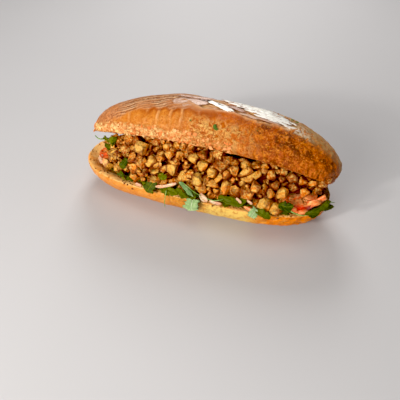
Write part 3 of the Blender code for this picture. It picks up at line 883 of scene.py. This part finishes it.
def make_chicken():
    """The dice over a smaller core, dark as sauce and as painted shade where it shows in the gaps between them."""
    core = merged_copy("chicken_filling", "chicken_core")
    face = merged_copy("chicken_filling", "heap_face")
    finish_with(face, "TRIANGULATE")
    rng = random.Random(11)
    shapes = [die_shape(seed) for seed in range(10)] + [shred_shape(seed) for seed in (21, 22, 23)]
    dice = []

    def add(point, size, turned, tone, shape):
        die = copied(shapes[shape])
        own = points_of(die.data)
        note(die.data, "own", own * size[0])
        note(die.data, "tone", np.full(len(own), tone))
        note(die.data, "sear", smooth(np.linalg.norm(own, axis=1), 0.46, 0.72))
        dice.append(placed(die, Matrix.LocRotScale(point, turned, Vector(size))))

    chosen = []
    for place, size, turned, tone, shape in CHOSEN_DICE:
        chosen.append(Vector(place) * MM)
        add(chosen[-1], [side * MM for side in size], degrees(turned).to_quaternion(), tone, shape)

    def outer(part):
        centre, normal = part.center, part.normal
        under_crown = normal.z > 0.55 and centre.y > -0.012
        over_right_slice = centre.x > 0.073 and centre.z < 0.052 and centre.y < -0.016
        over_left_slice = centre.x < -0.083 and centre.z < 0.043 and centre.y < 0.0
        past_end = centre.x > 0.098 and centre.z < 0.044
        covered = under_crown or over_right_slice or over_left_slice or past_end
        return normal.y < 0.55 and normal.z > -0.60 and not covered

    sizes = [rng.triangular(7.0, 10.0, 7.8) * MM for _ in range(120)]
    sizes += [rng.triangular(4.0, 7.2, 5.8) * MM for _ in range(240)] + [rng.uniform(2.6, 4.2) * MM for _ in range(260)]
    for layer, share, extra in ((0, 0.26, 0.0002), (1, 0.0, 0.0066)):
        for point, normal, side in spread_spots(face.data, rng, sizes, outer):
            side *= 1.0 - 0.32 * float(smooth(point.x, 0.030, 0.080))
            centre = point - normal * (side * share + extra)
            margin = 0.0044 + side * 0.44 if layer == 0 else 0.0040
            if any((centre - other).length <= margin for other in chosen):
                continue
            # Dice are left out high under the crown's lip, between x 6 and 60 mm, so that the dark core shows there as
            # painted shade.
            lip_shade_gap = 0.006 < point.x < 0.060 and point.z > 0.0625 - 0.12 * (point.x - 0.006)
            if lip_shade_gap and noise.noise(point * 130.0) > (-0.35 if layer == 0 else 0.25):
                continue
            # Dice darken towards the right, and high up under the crown's lip they are darkened as painted shade.
            browner_and_lip_shade = 0.20 * float(smooth(point.x, 0.02, 0.09)) + 0.20 * float(smooth(point.z, 0.052, 0.060))
            tone = min(1.0, max(0.0, rng.triangular(-0.05, 0.85, 0.05) + browner_and_lip_shade))
            size = [side * rng.uniform(0.78, 1.22) for _ in range(3)]
            size[2] *= 1.0 + rng.uniform(0.1, 0.7) * float(smooth(point.x, 0.03, 0.07))
            turned = any_turn(rng)
            shape = rng.randrange(10) if rng.random() < 0.75 - 0.35 * (point.x > 0.06) else rng.randrange(10, 13)
            add(centre, size, turned, tone, shape)
    for shape in shapes + [face]:
        bpy.data.objects.remove(shape)
    pile = joined(dice, "chicken_dice")
    facing = normals_of(pile.data)
    # Painted shade: darker where other dice take up the room in front of a point, and on the sides that face down.
    note(pile.data, "deep", closeness(pile.data, 0.0060, 14) + 0.24 * smooth(-facing[:, 2], -0.25, 0.55))
    # Painted shade on the sides turned away from the upper front left, where the lamps stand.
    note(pile.data, "saucy", smooth(-facing @ np.array((-0.50, -0.50, 0.70)), -0.75, 0.35))

    finish_with(core, "REMESH", mode="VOXEL", voxel_size=0.0026)
    finish_with(core, "DISPLACE", strength=-0.0075, mid_level=0.0)
    finish_with(core, "SMOOTH", factor=0.5, iterations=3)
    # The core is dark red-brown: sauce, and painted shade where it shows between the dice.
    sauce_and_shade = Finish("sauce_and_shade_core", {"Specular IOR Level": 0.12})
    cloud = sauce_and_shade.noise(sauce_and_shade.place(), 0.0040, 3.0)
    colour = sauce_and_shade.between(cloud.ease(0.35, 0.65), (78, 18, 4), (112, 40, 8))
    dark = sauce_and_shade.feed(colour, 0.55 + 0.3 * cloud, sauce_and_shade.bump(cloud, 0.0010, 0.8))
    return dressed(pile, chicken_finish(), 26.0), dressed(core, dark)


# ---- greens, stems and onion ---------------------------------------------------------------------
def leaf_finish(name, blade, vein, spot, dull):
    """blade is (place across, place along, chance) on a leaf of its own."""
    finish = Finish(name, {"Specular IOR Level": 0.20, "Specular Tint": (1.0, 0.95, 0.55, 1.0)})
    own = finish.attribute("blade", "Vector")
    across, along, chance = (finish.axis(own, index) for index in range(3))
    cloud = finish.noise(finish.place(), 0.0030, 3.0)
    rib = across.through("ABSOLUTE")
    side = ((along * 9.0 + rib * -2.6) * math.pi).through("SINE")
    veins = (side.ease(0.90, 1.0) * 0.6).most(rib.ease(0.09, 0.02))
    colour = finish.over(
        finish.between(chance, blade, spot),
        (cloud.ease(0.45, 0.70) * 0.5, *spot),
        (along.ease(0.70, 1.0) * cloud.ease(0.40, 0.60) * 0.5, *spot),
        (veins * 0.6, *vein),
    )
    return finish.feed(colour, dull + 0.2 * cloud, finish.bump(cloud * 0.8 - veins * 0.7, 0.0006, 0.8))


def curve_through(points, share):
    """A point of the smooth curve through the points, share 0 to 1 of the way along."""
    spans = len(points) - 1
    place = min(max(share, 0.0), 0.9999) * spans
    i = int(place)
    t = place - i
    p0, p1, p2, p3 = points[max(i - 1, 0)], points[i], points[i + 1], points[min(i + 2, spans)]
    bend = (2.0 * p0 - 5.0 * p1 + 4.0 * p2 - p3) * t * t + (3.0 * p1 - p0 - 3.0 * p2 + p3) * t**3
    return 0.5 * (2.0 * p1 + (p2 - p0) * t + bend)


def outline(kind, along):
    """Half the width of a leaf, as a share, at a place along it."""
    if kind == "fan":
        body = 0.15 + 0.85 * along**0.8 if along < 0.82 else 1.0 - ((along - 0.82) / 0.18) ** 2 * 0.55
    elif kind == "long":
        body = math.sin(math.pi * min(1.0, along * 0.94 + 0.04)) ** 0.65
    elif kind == "hanging":
        body = 0.65 + 0.35 * math.sin(math.pi * along) if along < 0.9 else 0.80
    else:
        body = math.sin(math.pi * min(1.0, along * 0.90 + 0.06)) ** 0.8
    lobe = abs(math.sin(along * 10.0 + 0.6)) ** 0.7
    tooth = abs((along * 11.0) % 1.0 - 0.5)
    return max(0.04, body * (0.56 + 0.38 * lobe + 0.22 * tooth))


def leaf(greens, spine, width, facing, kind="oval", fold=0.25, ruffle=1.0, chance=0.3, seed=0, rows=22, columns=6):
    """A leaf along a spine in mm. facing is the way its upper side looks, fold lifts its two halves."""
    points = [Vector(point) * MM for point in spine]
    facing = Vector(facing).normalized()
    bpy.ops.mesh.primitive_grid_add(x_subdivisions=columns, y_subdivisions=rows, size=2.0)
    obj = bpy.context.object
    own = []
    for vertex in obj.data.vertices:
        u, along = vertex.co.x, (vertex.co.y + 1.0) / 2.0
        centre = curve_through(points, along)
        ahead = (curve_through(points, along + 0.03) - curve_through(points, along - 0.03)).normalized()
        side = ahead.cross(facing).normalized()
        up = side.cross(ahead).normalized()
        uneven = noise.noise(Vector((math.copysign(1.0, u) * 3.0, along * 3.5, seed * 2.3)))
        reach = width * MM * 0.5 * outline(kind, along) * (1.0 + 0.45 * uneven)
        crimp = noise.noise(Vector((u * 1.8, along * 4.0, seed * 1.7))) * ruffle * 1.5 * MM
        crimp += math.sin(along * 17.0 + seed) * abs(u) * 0.35 * ruffle * MM
        vertex.co = centre + side * u * reach + up * (fold * abs(u) * reach + crimp)
        vertex.co.y = max(vertex.co.y, -0.0476)
        vertex.co.x = min(max(vertex.co.x, -0.1165), 0.1165)
        own.append((u, along, chance))
    obj.data.update()
    note(obj.data, "blade", own)
    for green in greens:
        obj.data.materials.append(green)
    finish_with(obj, "SOLIDIFY", thickness=0.00032, offset=-1.0, material_offset=1)
    return obj


# Leaves that show. Spines run from the stalk to the tip, in mm.
LEAVES = (
    (((-33, -39.5, 37.5), (-35.5, -42, 34.5), (-38, -44.3, 30.5), (-39.5, -45.6, 27.5)),
     11.5, (0.1, -0.7, 0.6), "long", 0.12, 0.5, 0.15),
    (((-25, -41.5, 34.5), (-18.5, -43.6, 33.3), (-10.5, -44.8, 33)), 7.5, (0, -0.7, 0.7), "oval", 0.20, 0.8, 0.65),
    (((-27.5, -42, 34), (-22.5, -44.3, 32), (-18.5, -45.6, 29)), 6.5, (0, -0.75, 0.6), "oval", 0.20, 0.8, 0.50),
    (((-10.5, -40.8, 43), (-4.5, -42.8, 39.5), (0.5, -44.4, 36.2), (4.6, -46, 32.5)),
     9, (0.1, -0.6, 0.8), "fan", 0.40, 0.5, 0.05),
    (((-13, -42.5, 36), (-8, -44.2, 33.5), (-2, -45.4, 31.5)), 7, (0, -0.8, 0.5), "oval", 0.15, 0.7, 0.45),
    (((24.2, -41.4, 36.8), (32.0, -42.8, 36.9), (40.8, -43.4, 37.0), (48.5, -43.2, 39.8)),
     7.5, (0, -0.7, 0.7), "long", 0.20, 0.9, 0.35),
    (((29.0, -41.5, 37.5), (36.5, -43.4, 36.2), (43.0, -44.4, 35.0)), 6, (0, -0.75, 0.6), "oval", 0.2, 0.9, 0.65),
    (((57.0, -44.6, 35), (63.4, -46.2, 33.0), (69.6, -46.6, 30.2)), 8, (0.1, -0.8, 0.6), "oval", 0.2, 0.8, 0.40),
    (((74.0, -38.5, 40), (79.8, -39.6, 40.0), (85.5, -38.5, 41.6)), 8.5, (0, -0.7, 0.7), "oval", 0.3, 0.8, 0.0),
    (((95.5, -37.0, 34.5), (101.5, -35.0, 36.5), (108.2, -30, 38.5), (114, -22.5, 37.5)),
     5.0, (0.3, -0.7, 0.7), "long", 0.30, 1.0, 0.25),
    (((105.5, -32, 38), (109.9, -28, 40.8), (112.2, -24.5, 43.2)), 5.5, (0.3, -0.7, 0.5), "oval", 0.25, 0.9, 0.40),
    (((108.4, -30.0, 37.2), (112.6, -25.0, 35.9), (116.0, -21.0, 35.2)),
     4.5, (0.2, -0.7, 0.7), "oval", 0.25, 0.9, 0.50),
    (((98, -35, 33.5), (102, -34, 33), (106, -31, 34)), 5, (0.2, -0.7, 0.7), "oval", 0.25, 0.9, 0.10),
    (((-60.6, -34.0, 50.0), (-63.4, -36.5, 46.0), (-66.8, -37.5, 41.5)),
     7.5, (-0.2, -0.9, 0.4), "oval", 0.25, 0.7, 0.05),
    (((-71.4, -36.0, 36.6), (-67.5, -37.8, 35.2), (-63.7, -38.9, 33.5)),
     5.5, (-0.2, -0.8, 0.5), "oval", 0.25, 0.8, 0.20),
    (((-66.5, -37.2, 36), (-65.5, -38.3, 32.5), (-63.5, -39, 29)), 2.0, (-0.2, -0.9, 0.5), "long", 0.2, 0.3, 0.95),
    (((-29.5, -38.5, 45.5), (-25.2, -41.2, 44.8), (-21.0, -41.8, 47.0)), 6.5, (0, -0.85, 0.5), "oval", 0.25, 0.7, 0.60),
    (((-80.0, -25.5, 49.9), (-80.4, -24.5, 56.5), (-78.2, -23.0, 62.5)),
     6.0, (-0.3, -0.9, 0.3), "oval", 0.30, 1.3, 0.75),
    (((-83.2, -23.0, 55.0), (-86.0, -22.0, 57.8), (-89.0, -21.0, 58.0)),
     4.0, (-0.3, -0.8, 0.5), "oval", 0.3, 1.2, 0.60),
    (((-79.1, -25.5, 55.0), (-76.5, -24.5, 59.5), (-75.0, -23.5, 63.0)),
     4.5, (-0.2, -0.9, 0.3), "oval", 0.3, 1.2, 0.35),
    (((-82.3, -25.0, 48.9), (-85.0, -24.0, 51.9), (-87.8, -23.0, 52.0)),
     4.5, (-0.3, -0.8, 0.5), "oval", 0.3, 1.2, 0.30),
)
# Leaves that show their pale underside, three of them where they hang over the crust.
TURNED_LEAVES = (
    (((2.4, -45.2, 31.5), (2.6, -46.8, 27.5), (2.2, -47.2, 23.0), (3.0, -46.9, 19.5)),
     15, (0, 0.95, -0.1), "hanging", 0.12, 1.3, 0.3),
    (((58.0, -45.0, 35.6), (55.9, -46.7, 32.6), (54.3, -47.2, 27.8)), 9, (0, 0.95, -0.2), "hanging", 0.12, 1.0, 0.3),
    (((-10.0, -42.0, 43.9), (-3.0, -44.4, 40.2), (3.6, -46.6, 35.0)), 3.6, (-0.2, 0.5, -0.9), "long", 0.10, 0.3, -0.1),
)
STEMS = (
    (((-81.5, -24.0, 55.0), (-86.0, -18.5, 55.5), (-94.0, -14.0, 50.5), (-103.0, -8.0, 45.0),
      (-109.0, -4.0, 44.5)), 0.75),
    (((-20.9, -45.2, 34.0), (-21.1, -46.6, 30.0), (-22.3, -47.0, 23.3), (-22.4, -46.8, 16)), 0.45),
    (((-7.3, -42.5, 44.9), (-1.1, -45.0, 43.1), (4.4, -46.0, 40.0), (10.4, -45.5, 36.9)), 0.45),
    (((15, -44.5, 34.5), (22, -45.2, 34.8), (29, -44.0, 37.0)), 0.40),
    (((84, -37, 34), (93, -37, 32), (101, -33, 33.5)), 0.55),
    (((112, -24, 42), (114.2, -22.5, 40.0), (116.2, -20.5, 39.0)), 0.35),
)
# Slivers of onion: spine in mm, width, thickness.
ONION = (
    (((-31.7, -43.6, 34.3), (-24.6, -44.9, 37.3), (-18.2, -44.4, 40.0), (-12.4, -42.8, 42.2)), 2.1, 0.7),
    (((39.7, -43.6, 41.2), (42.6, -44.8, 40.4), (44.6, -45.4, 38.2)), 1.6, 0.7),
    (((48.7, -43.2, 41.1), (51.7, -44.3, 40.4), (53.5, -44.8, 39.2)), 1.4, 0.7),
    (((9.0, -43.8, 37.5), (12.2, -44.8, 34.5), (16.0, -45.2, 32.5)), 3.6, 1.2),
    (((-97.7, -16.0, 34.1), (-96.6, -20.0, 31.9), (-93.7, -24.0, 30.4)), 3.2, 1.0),
    (((-92.0, -21.5, 33.0), (-88.5, -24.5, 32.0), (-85.5, -27.5, 30.5)), 2.6, 1.1),
    (((-52, -40.9, 30.2), (-49, -41.4, 30.0), (-46, -41.8, 30.0)), 1.8, 0.8),
    (((17.0, -43.5, 31.8), (22.0, -44.0, 31.4), (27.5, -43.8, 31.6)), 1.8, 0.8),
)


def bed_leaves(greens, rng):
    """Smaller leaves all along the bed, out to its edge, where they show between the larger ones and at the ends."""
    leaves = []
    for index in range(60):
        station = rng.uniform(-0.72, 0.93)
        x = station * HALF_LENGTH + HEEL_SHIFT + MIDDLE.x
        lip = -float(half_width(np.array(station)))
        inset = 0.0085 * float(smooth(-station, 0.45, 0.62)) + 0.006 * float(smooth(station, 0.86, 0.95))
        y = (lip + MIDDLE.y + inset) / MM + rng.uniform(2.0, 16.0)
        heading = rng.uniform(-2.6, -0.5)
        length = rng.uniform(6.0, 10.0)
        step = Vector((math.cos(heading) * length, math.sin(heading) * length * 0.6, 0.0))
        start = Vector((x / MM, y, 28.6 + rng.uniform(0.0, 2.6)))
        end = start + step
        end.y = max(end.y, lip / MM + 1.2 + inset / MM)
        end.z -= 0.6
        middle = (start + end) / 2.0 + Vector((0.0, 0.0, rng.uniform(0.4, 1.8)))
        if abs(end.x) > 113.0:
            continue
        facing = (rng.uniform(-0.3, 0.3), -0.35, 0.9)
        width = rng.uniform(4.5, 8.0)
        leaves.append(
            leaf(greens, (start, middle, end), width, facing, "oval", 0.3, 1.0, rng.random() * 0.7, index, 9, 4)
        )
    return leaves


def stem(spine, radius):
    bpy.ops.curve.primitive_nurbs_path_add()
    obj = bpy.context.object
    curve = obj.data
    curve.splines.clear()
    line = curve.splines.new("POLY")
    points = [Vector(point) * MM for point in spine]
    line.points.add(15)
    for index, point in enumerate(line.points):
        point.co = (*curve_through(points, index / 15.0), 1.0)
        point.radius = 1.0 - 0.35 * index / 15.0
    curve.dimensions = "3D"
    curve.bevel_depth = radius * MM
    curve.bevel_resolution = 1
    curve.use_fill_caps = True
    only(obj)
    bpy.ops.object.convert(target="MESH")
    obj = bpy.context.object
    close_up(obj, 0.00001)
    return placed(obj, Matrix.Identity(4))


def sliver(spine, width, thickness, seed):
    """A curved strip of onion with blunt ends and a hollow face."""
    points = [Vector(point) * MM for point in spine]
    bpy.ops.mesh.primitive_grid_add(x_subdivisions=4, y_subdivisions=12, size=2.0)
    obj = bpy.context.object
    for vertex in obj.data.vertices:
        u, along = vertex.co.x, (vertex.co.y + 1.0) / 2.0
        ahead = (curve_through(points, along + 0.04) - curve_through(points, along - 0.04)).normalized()
        side = ahead.cross(Vector((0.0, -0.8, 0.6))).normalized()
        up = side.cross(ahead)
        blunt = max(0.35, 1.0 - abs(along * 2.0 - 1.0) ** 4)
        reach = width * MM * 0.5 * blunt * (1.0 + 0.15 * math.sin(along * 9.0 + seed))
        vertex.co = curve_through(points, along) + side * u * reach + up * (u * u * reach * 0.5)
    obj.data.update()
    finish_with(obj, "SOLIDIFY", thickness=thickness * MM, offset=-1.0)
    finish_with(obj, "BEVEL", width=thickness * 0.3 * MM, segments=2, limit_method="ANGLE")
    return obj


def make_greens():
    rng = random.Random(5)
    upper = leaf_finish("parsley_upper", (32, 52, 0), (132, 144, 36), (110, 112, 1), 0.40)
    lower = leaf_finish("parsley_under", (104, 142, 78), (222, 232, 190), (188, 208, 152), 0.42)
    leaves = [leaf((upper, lower), *row, seed=index) for index, row in enumerate(LEAVES)]
    leaves += [leaf((upper, lower), *row, seed=50 + index) for index, row in enumerate(TURNED_LEAVES)]
    leaves += bed_leaves((upper, lower), rng)
    greens = joined(leaves, "parsley_leaves")
    greens.data.shade_smooth()

    bed = merged_copy("greens_bed", "greens_layer")
    finish_with(bed, "REMESH", mode="VOXEL", voxel_size=0.0012)
    keep_main_part(bed)
    mesh = bed.data
    points, normals = points_of(mesh), normals_of(mesh)
    tuft = grain(points, 0.0040, 2.0)
    points = points - normals * (0.0011 + 0.0011 * np.abs(tuft))[:, None]
    station = np.clip((points[:, 0] - MIDDLE.x - HEEL_SHIFT) / HALF_LENGTH, -0.999, 0.999)
    limit = -half_width(station) + MIDDLE.y + 0.0090
    points[:, 1] = np.where(points[:, 1] < limit, limit + (points[:, 1] - limit) * 0.35, points[:, 1])
    points[:, 0] = np.where(points[:, 0] < -0.080, -0.080 + (points[:, 0] + 0.080) * 0.25, points[:, 0])
    write_points(mesh, points)
    note(mesh, "blade", np.stack([tuft * 0.5 + 0.5, points[:, 0] * 60.0, np.clip(tuft, 0.0, 1.0)], axis=1))

    stalk = Finish("parsley_stalk", {"Specular IOR Level": 0.5, "Roughness": 0.4})
    cloud = stalk.noise(stalk.place(), 0.0030, 2.0)
    green = stalk.feed(stalk.between(cloud.ease(0.35, 0.65), (96, 134, 40), (160, 186, 92)))

    skin = Finish("onion", {"Specular IOR Level": 0.5, "Subsurface Weight": 0.15, "Subsurface Scale": 0.002})
    place = skin.place()
    line = skin.noise(skin.stretch(place, (0.25, 1.0, 1.0)), 0.0010, 2.0)
    colour = skin.between(line.ease(0.35, 0.65), (204, 160, 118), (230, 200, 164))
    colour = skin.over(colour, (skin.noise(place, 0.006, 2.0).ease(0.42, 0.62) * 0.6, 222, 140, 104))
    pearly = skin.feed(colour, 0.25 + 0.2 * line, skin.bump(line, 0.0003, 0.5))
    stems = joined([stem(*row) for row in STEMS], "parsley_stems")
    onion = joined([sliver(*row, seed=index) for index, row in enumerate(ONION)], "onion_slivers")
    return greens, dressed(bed, upper), dressed(stems, green), dressed(onion, pearly)


# ---- tomato --------------------------------------------------------------------------------------
def tomato_finish():
    """slice holds a point's place in its own slice: across, out from the cut, and up, in slice radii."""
    soft = {"Coat Weight": 0.25, "Coat Roughness": 0.15, "Subsurface Weight": 0.10, "Subsurface Scale": 0.002}
    finish = Finish("tomato_flesh", {"Specular IOR Level": 0.5, **soft})
    own = finish.attribute("slice", "Vector")
    flat = finish.stretch(own, (1.0, 1.0, 0.0))
    radius = finish.node("ShaderNodeVectorMath", {"operation": "LENGTH"}, {0: flat}, "Value")
    place = finish.place()
    cloud = finish.noise(place, 0.0035, 3.0, 0.6, 0.5)
    fibre = finish.noise(place, 0.0012, 2.0)
    # Painted light: the right slice, which lies in shade, is painted brighter than the left, which is lit more.
    right = finish.axis(place, 0).ease(-0.02, 0.02)
    flesh = finish.between(right, (238, 78, 26), (255, 108, 48))
    ripe = finish.between(right, (248, 132, 64), (255, 172, 100))
    colour = finish.over(
        finish.mix(cloud.ease(0.35, 0.65), flesh, ripe),
        (radius.ease(0.36, 0.10) * finish.axis(own, 1).ease(-0.6, 0.1), 252, 176, 126),
        (radius.ease(0.92, 0.98), 200, 48, 12),
        (fibre.ease(0.55, 0.70) * 0.35, 244, 150, 90),
    )
    return finish.feed(colour, 0.18 + 0.2 * cloud, finish.bump(cloud + fibre * 0.4, 0.0008, 0.6))


def tomato_slice(name, scale, place, turned):
    """Half a slice: a short cylinder cut in two, its faces inset and pressed in where the seed pockets are."""
    radius, thick = 0.0158 * scale, 0.0060
    bpy.ops.mesh.primitive_cylinder_add(vertices=36, radius=radius, depth=thick)
    obj = only(bpy.context.object)
    bpy.ops.object.mode_set(mode="EDIT")
    bpy.ops.mesh.select_all(action="SELECT")
    bpy.ops.mesh.bisect(plane_co=(0, 0, 0), plane_no=(0, 1, 0), use_fill=True, clear_outer=True)
    bpy.ops.mesh.select_all(action="DESELECT")
    bpy.ops.mesh.select_mode(type="FACE")
    bpy.ops.object.mode_set(mode="OBJECT")
    for face in obj.data.polygons:
        face.select = abs(face.normal.z) > 0.9
    bpy.ops.object.mode_set(mode="EDIT")
    bpy.ops.mesh.inset(thickness=radius * 0.13)
    bpy.ops.mesh.inset(thickness=radius * 0.16)
    bpy.ops.object.mode_set(mode="OBJECT")
    finish_with(obj, "BEVEL", width=thick * 0.14, segments=2, limit_method="ANGLE")
    finish_with(obj, "TRIANGULATE")
    finish_with(obj, "REMESH", mode="VOXEL", voxel_size=0.0007)
    finish_with(obj, "SMOOTH", factor=0.5, iterations=2)
    mesh = obj.data
    points, normals = points_of(mesh), normals_of(mesh)
    own = points / radius
    far = np.hypot(own[:, 0], own[:, 1])
    angle = np.arctan2(own[:, 1], own[:, 0])
    pocket = smooth(np.sin(angle * 5.0 + 0.6), -0.2, 0.5) * smooth(far, 0.25, 0.42) * (1.0 - smooth(far, 0.74, 0.86))
    pocket = pocket * (np.abs(normals[:, 2]) > 0.6)
    lump = grain(points, 0.0030, 4.0)
    write_points(mesh, points - normals * (pocket * 0.0010 + 0.0003 + 0.00025 * lump)[:, None])
    note(mesh, "slice", own)
    seeds = []
    rng = random.Random(int(scale * 100))
    for _ in range(16):
        at, out = rng.uniform(-3.0, -0.15), rng.uniform(0.45, 0.72)
        if math.sin(at * 5.0 + 0.6) < 0.1:
            continue
        bpy.ops.mesh.primitive_uv_sphere_add(segments=8, ring_count=6, radius=0.0011)
        seed = bpy.context.object
        lay = Matrix.LocRotScale(
            Vector((math.cos(at) * out * radius, math.sin(at) * out * radius, thick * 0.5 - 0.0012)),
            Euler((0.0, 0.0, at)), Vector((1.3, 0.8, 0.45)),
        )
        seeds.append(placed(seed, lay))
    matrix = Matrix.LocRotScale(Vector(place) + MIDDLE, Euler(turned), None)
    placed(obj, matrix)
    for seed in seeds:
        placed(seed, matrix)
    obj.name = name
    return obj, seeds


# Strips of tomato: place in mm, size in mm, turn in degrees, shape number.
TOMATO_BITS = (
    ((50.5, -44.6, 34.0), (8.0, 3.0, 3.4), (0, 12, -8), 31),
    ((86.0, -34.5, 34.5), (7.0, 4.5, 4.5), (10, 20, 0), 32),
    ((94.0, -34.5, 34.0), (8.0, 4.0, 4.0), (20, 0, 30), 34),
    ((100.5, -26.0, 39.0), (11.0, 3.6, 5.6), (-12, -26, 14), 35),
    ((105.5, -22.5, 41.5), (8.0, 3.4, 4.6), (-8, -32, 24), 36),
)


def make_tomato():
    flesh = tomato_finish()
    left, left_seeds = tomato_slice("tomato_left", 0.62, (-0.0930, -0.0100, 0.0322), (0.10, 0.05, math.radians(-62.0)))
    right, right_seeds = tomato_slice("tomato_right", 1.0, (0.0850, -0.0170, 0.0370), (0.12, 0.06, math.radians(18.0)))
    pip = Finish("tomato_pip", {"Specular IOR Level": 0.6, "Coat Weight": 0.4})
    cloud = pip.noise(pip.place(), 0.0008, 2.0)
    amber = pip.feed(pip.between(cloud.ease(0.35, 0.65), (226, 136, 62), (238, 170, 92)), 0.25 + 0.2 * cloud)
    bits = []
    for place, size, turned, seed in TOMATO_BITS:
        bit = die_shape(seed)
        note(bit.data, "slice", np.full((len(bit.data.vertices), 3), -0.5))
        bits.append(placed(bit, Matrix.LocRotScale(Vector(place) * MM, degrees(turned), Vector(size) * MM)))
    pips = dressed(joined(left_seeds + right_seeds, "tomato_pips"), amber)
    return dressed(left, flesh), dressed(right, flesh), pips, dressed(joined(bits, "tomato_bits"), flesh)


# ---- herb flecks and crumbs ----------------------------------------------------------------------
# Herb flecks: station and turn on the crown, length in mm, shape number.
HERB_FLECKS = (
    (0.062, 0.112, 4.6, 1), (0.074, 0.098, 3.6, 2), (0.595, 0.385, 3.2, 3), (0.56, 0.392, 2.6, 4),
    (-0.12, 0.120, 1.2, 5), (0.36, 0.150, 1.0, 6),
)
# Crumbs on the heel: place in mm, size in mm, shape number.
BROWNED_CRUMBS = (
    ((-63.5, -39.9, 26.6), 1.7, 41), ((-60.5, -40.6, 26.2), 1.3, 42), ((-55.5, -41.5, 23.2), 1.5, 43),
    ((-66.0, -38.4, 27.0), 1.0, 44), ((-88.0, -31.0, 27.6), 1.2, 45), ((20.0, -43.6, 27.0), 1.2, 46),
    ((75.0, -41.0, 26.8), 1.4, 47),
)


def make_flecks():
    rng = random.Random(8)
    herb = leaf_finish("herb_fleck", (58, 88, 24), (130, 156, 76), (104, 134, 52), 0.45)
    flecks = []
    for station, turn, length, seed in HERB_FLECKS:
        middle = crown_point(station, turn, 0.0003) / MM
        heading = Vector((rng.uniform(-1, 1), 0.1, rng.uniform(-1, 1))).normalized() * length * 0.5
        facing = (crown_point(station, turn, 0.002) - crown_point(station, turn)).normalized()
        heading -= facing * heading.dot(facing)
        spine = (middle - heading, middle + facing * 0.25, middle + heading)
        flecks.append(leaf((herb,), spine, length * 0.7, facing, "oval", 0.2, 0.25, 0.5, seed, 6, 3))
    green = joined(flecks, "herb_flecks")
    green.data.shade_smooth()

    crumb = Finish("browned_crumb", {"Specular IOR Level": 0.5})
    cloud = crumb.noise(crumb.place(), 0.0010, 2.0)
    brown = crumb.feed(crumb.between(cloud.ease(0.35, 0.65), (92, 42, 12), (164, 88, 30)), 0.4 + 0.3 * cloud)
    crumbs = []
    for place, size, seed in BROWNED_CRUMBS:
        grit = die_shape(seed)
        crumbs.append(placed(grit, Matrix.LocRotScale(Vector(place) * MM, any_turn(rng), Vector((size,) * 3) * MM)))
    return green, dressed(joined(crumbs, "browned_crumbs"), brown)


# ---- the room ------------------------------------------------------------------------------------
# Lights: name, place, size, power in watts, colour.
LIGHTS = (
    ("window_behind", (-0.22, 0.80, 0.72), 0.40, 6.0, (1.0, 0.99, 0.98)),
    ("soft_front", (-0.34, -1.10, 0.50), 0.55, 10.5, (1.0, 0.98, 0.95)),
    ("small_lamp", (-0.38, -0.72, 0.40), 0.07, 3.6, (1.0, 0.98, 0.94)),
    ("soft_top", (0.05, -0.10, 1.10), 0.60, 2.5, (1.0, 1.0, 1.0)),
)


def make_room():
    bpy.ops.mesh.primitive_plane_add(size=6.0, location=(0.0, 1.0, 0.0))
    floor = placed(bpy.context.object, Matrix.Identity(4))
    floor.name = "floor"
    paint = Finish("pale_floor", {"Specular IOR Level": 0.3})
    cloud = paint.noise(paint.place(), 0.4, 2.0)
    floor.data.materials.append(paint.feed(paint.between(cloud, (196, 194, 194), (202, 200, 201)), 0.6 + 0.1 * cloud))

    for name, place, size, power, colour in LIGHTS:
        light = bpy.data.lights.new(name, "AREA")
        light.size, light.energy, light.color = size, power, colour
        lamp = linked(bpy.data.objects.new(name, light))
        lamp.location = place
        lamp.rotation_euler = (Vector((0.0, 0.0, 0.04)) - Vector(place)).to_track_quat("-Z", "Y").to_euler()
    world = bpy.data.worlds.new("studio")
    world.use_nodes = True
    world.node_tree.nodes["Background"].inputs["Color"].default_value = (0.92, 0.89, 0.86, 1.0)
    world.node_tree.nodes["Background"].inputs["Strength"].default_value = 0.15
    bpy.context.scene.world = world
    view = bpy.context.scene.view_settings
    view.view_transform = "Standard"
    view.use_curve_mapping = True
    view.curve_mapping.black_level = (0.012, 0.012, 0.012)

    camera = linked(bpy.data.objects.new("camera", bpy.data.cameras.new("camera")))
    camera.data.lens = 41.4
    camera.data.sensor_width = 36.0
    camera.data.clip_start = 0.01
    camera.location = (0.101616, -0.317278, 0.288649)
    camera.rotation_euler = (math.radians(90.0 - 41.79), 0.0, math.radians(18.72))
    bpy.context.scene.camera = camera


# ---- the sandwich --------------------------------------------------------------------------------
def main():
    make_room()
    bread = make_bread()
    flakes, lip = make_flakes(), make_lip_crumbs(bread)
    dice, core = make_chicken()
    leaves, bed, stems, onion = make_greens()
    left, right, pips, bits = make_tomato()
    herbs, crumbs = make_flecks()
    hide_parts("bread_roll")
    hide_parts("chicken_filling")
    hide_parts("greens_bed")
    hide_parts("tomato_slice_left")
    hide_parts("tomato_slice_right")
    slots = {
        "crust": (bread, flakes, lip, crumbs),
        "chicken": (dice, core),
        "leaf": (leaves, bed, stems, onion, herbs),
        "tomato": (left, right, pips, bits),
    }
    for slot, pieces in slots.items():
        for piece in pieces:
            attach(piece, "root")


main()
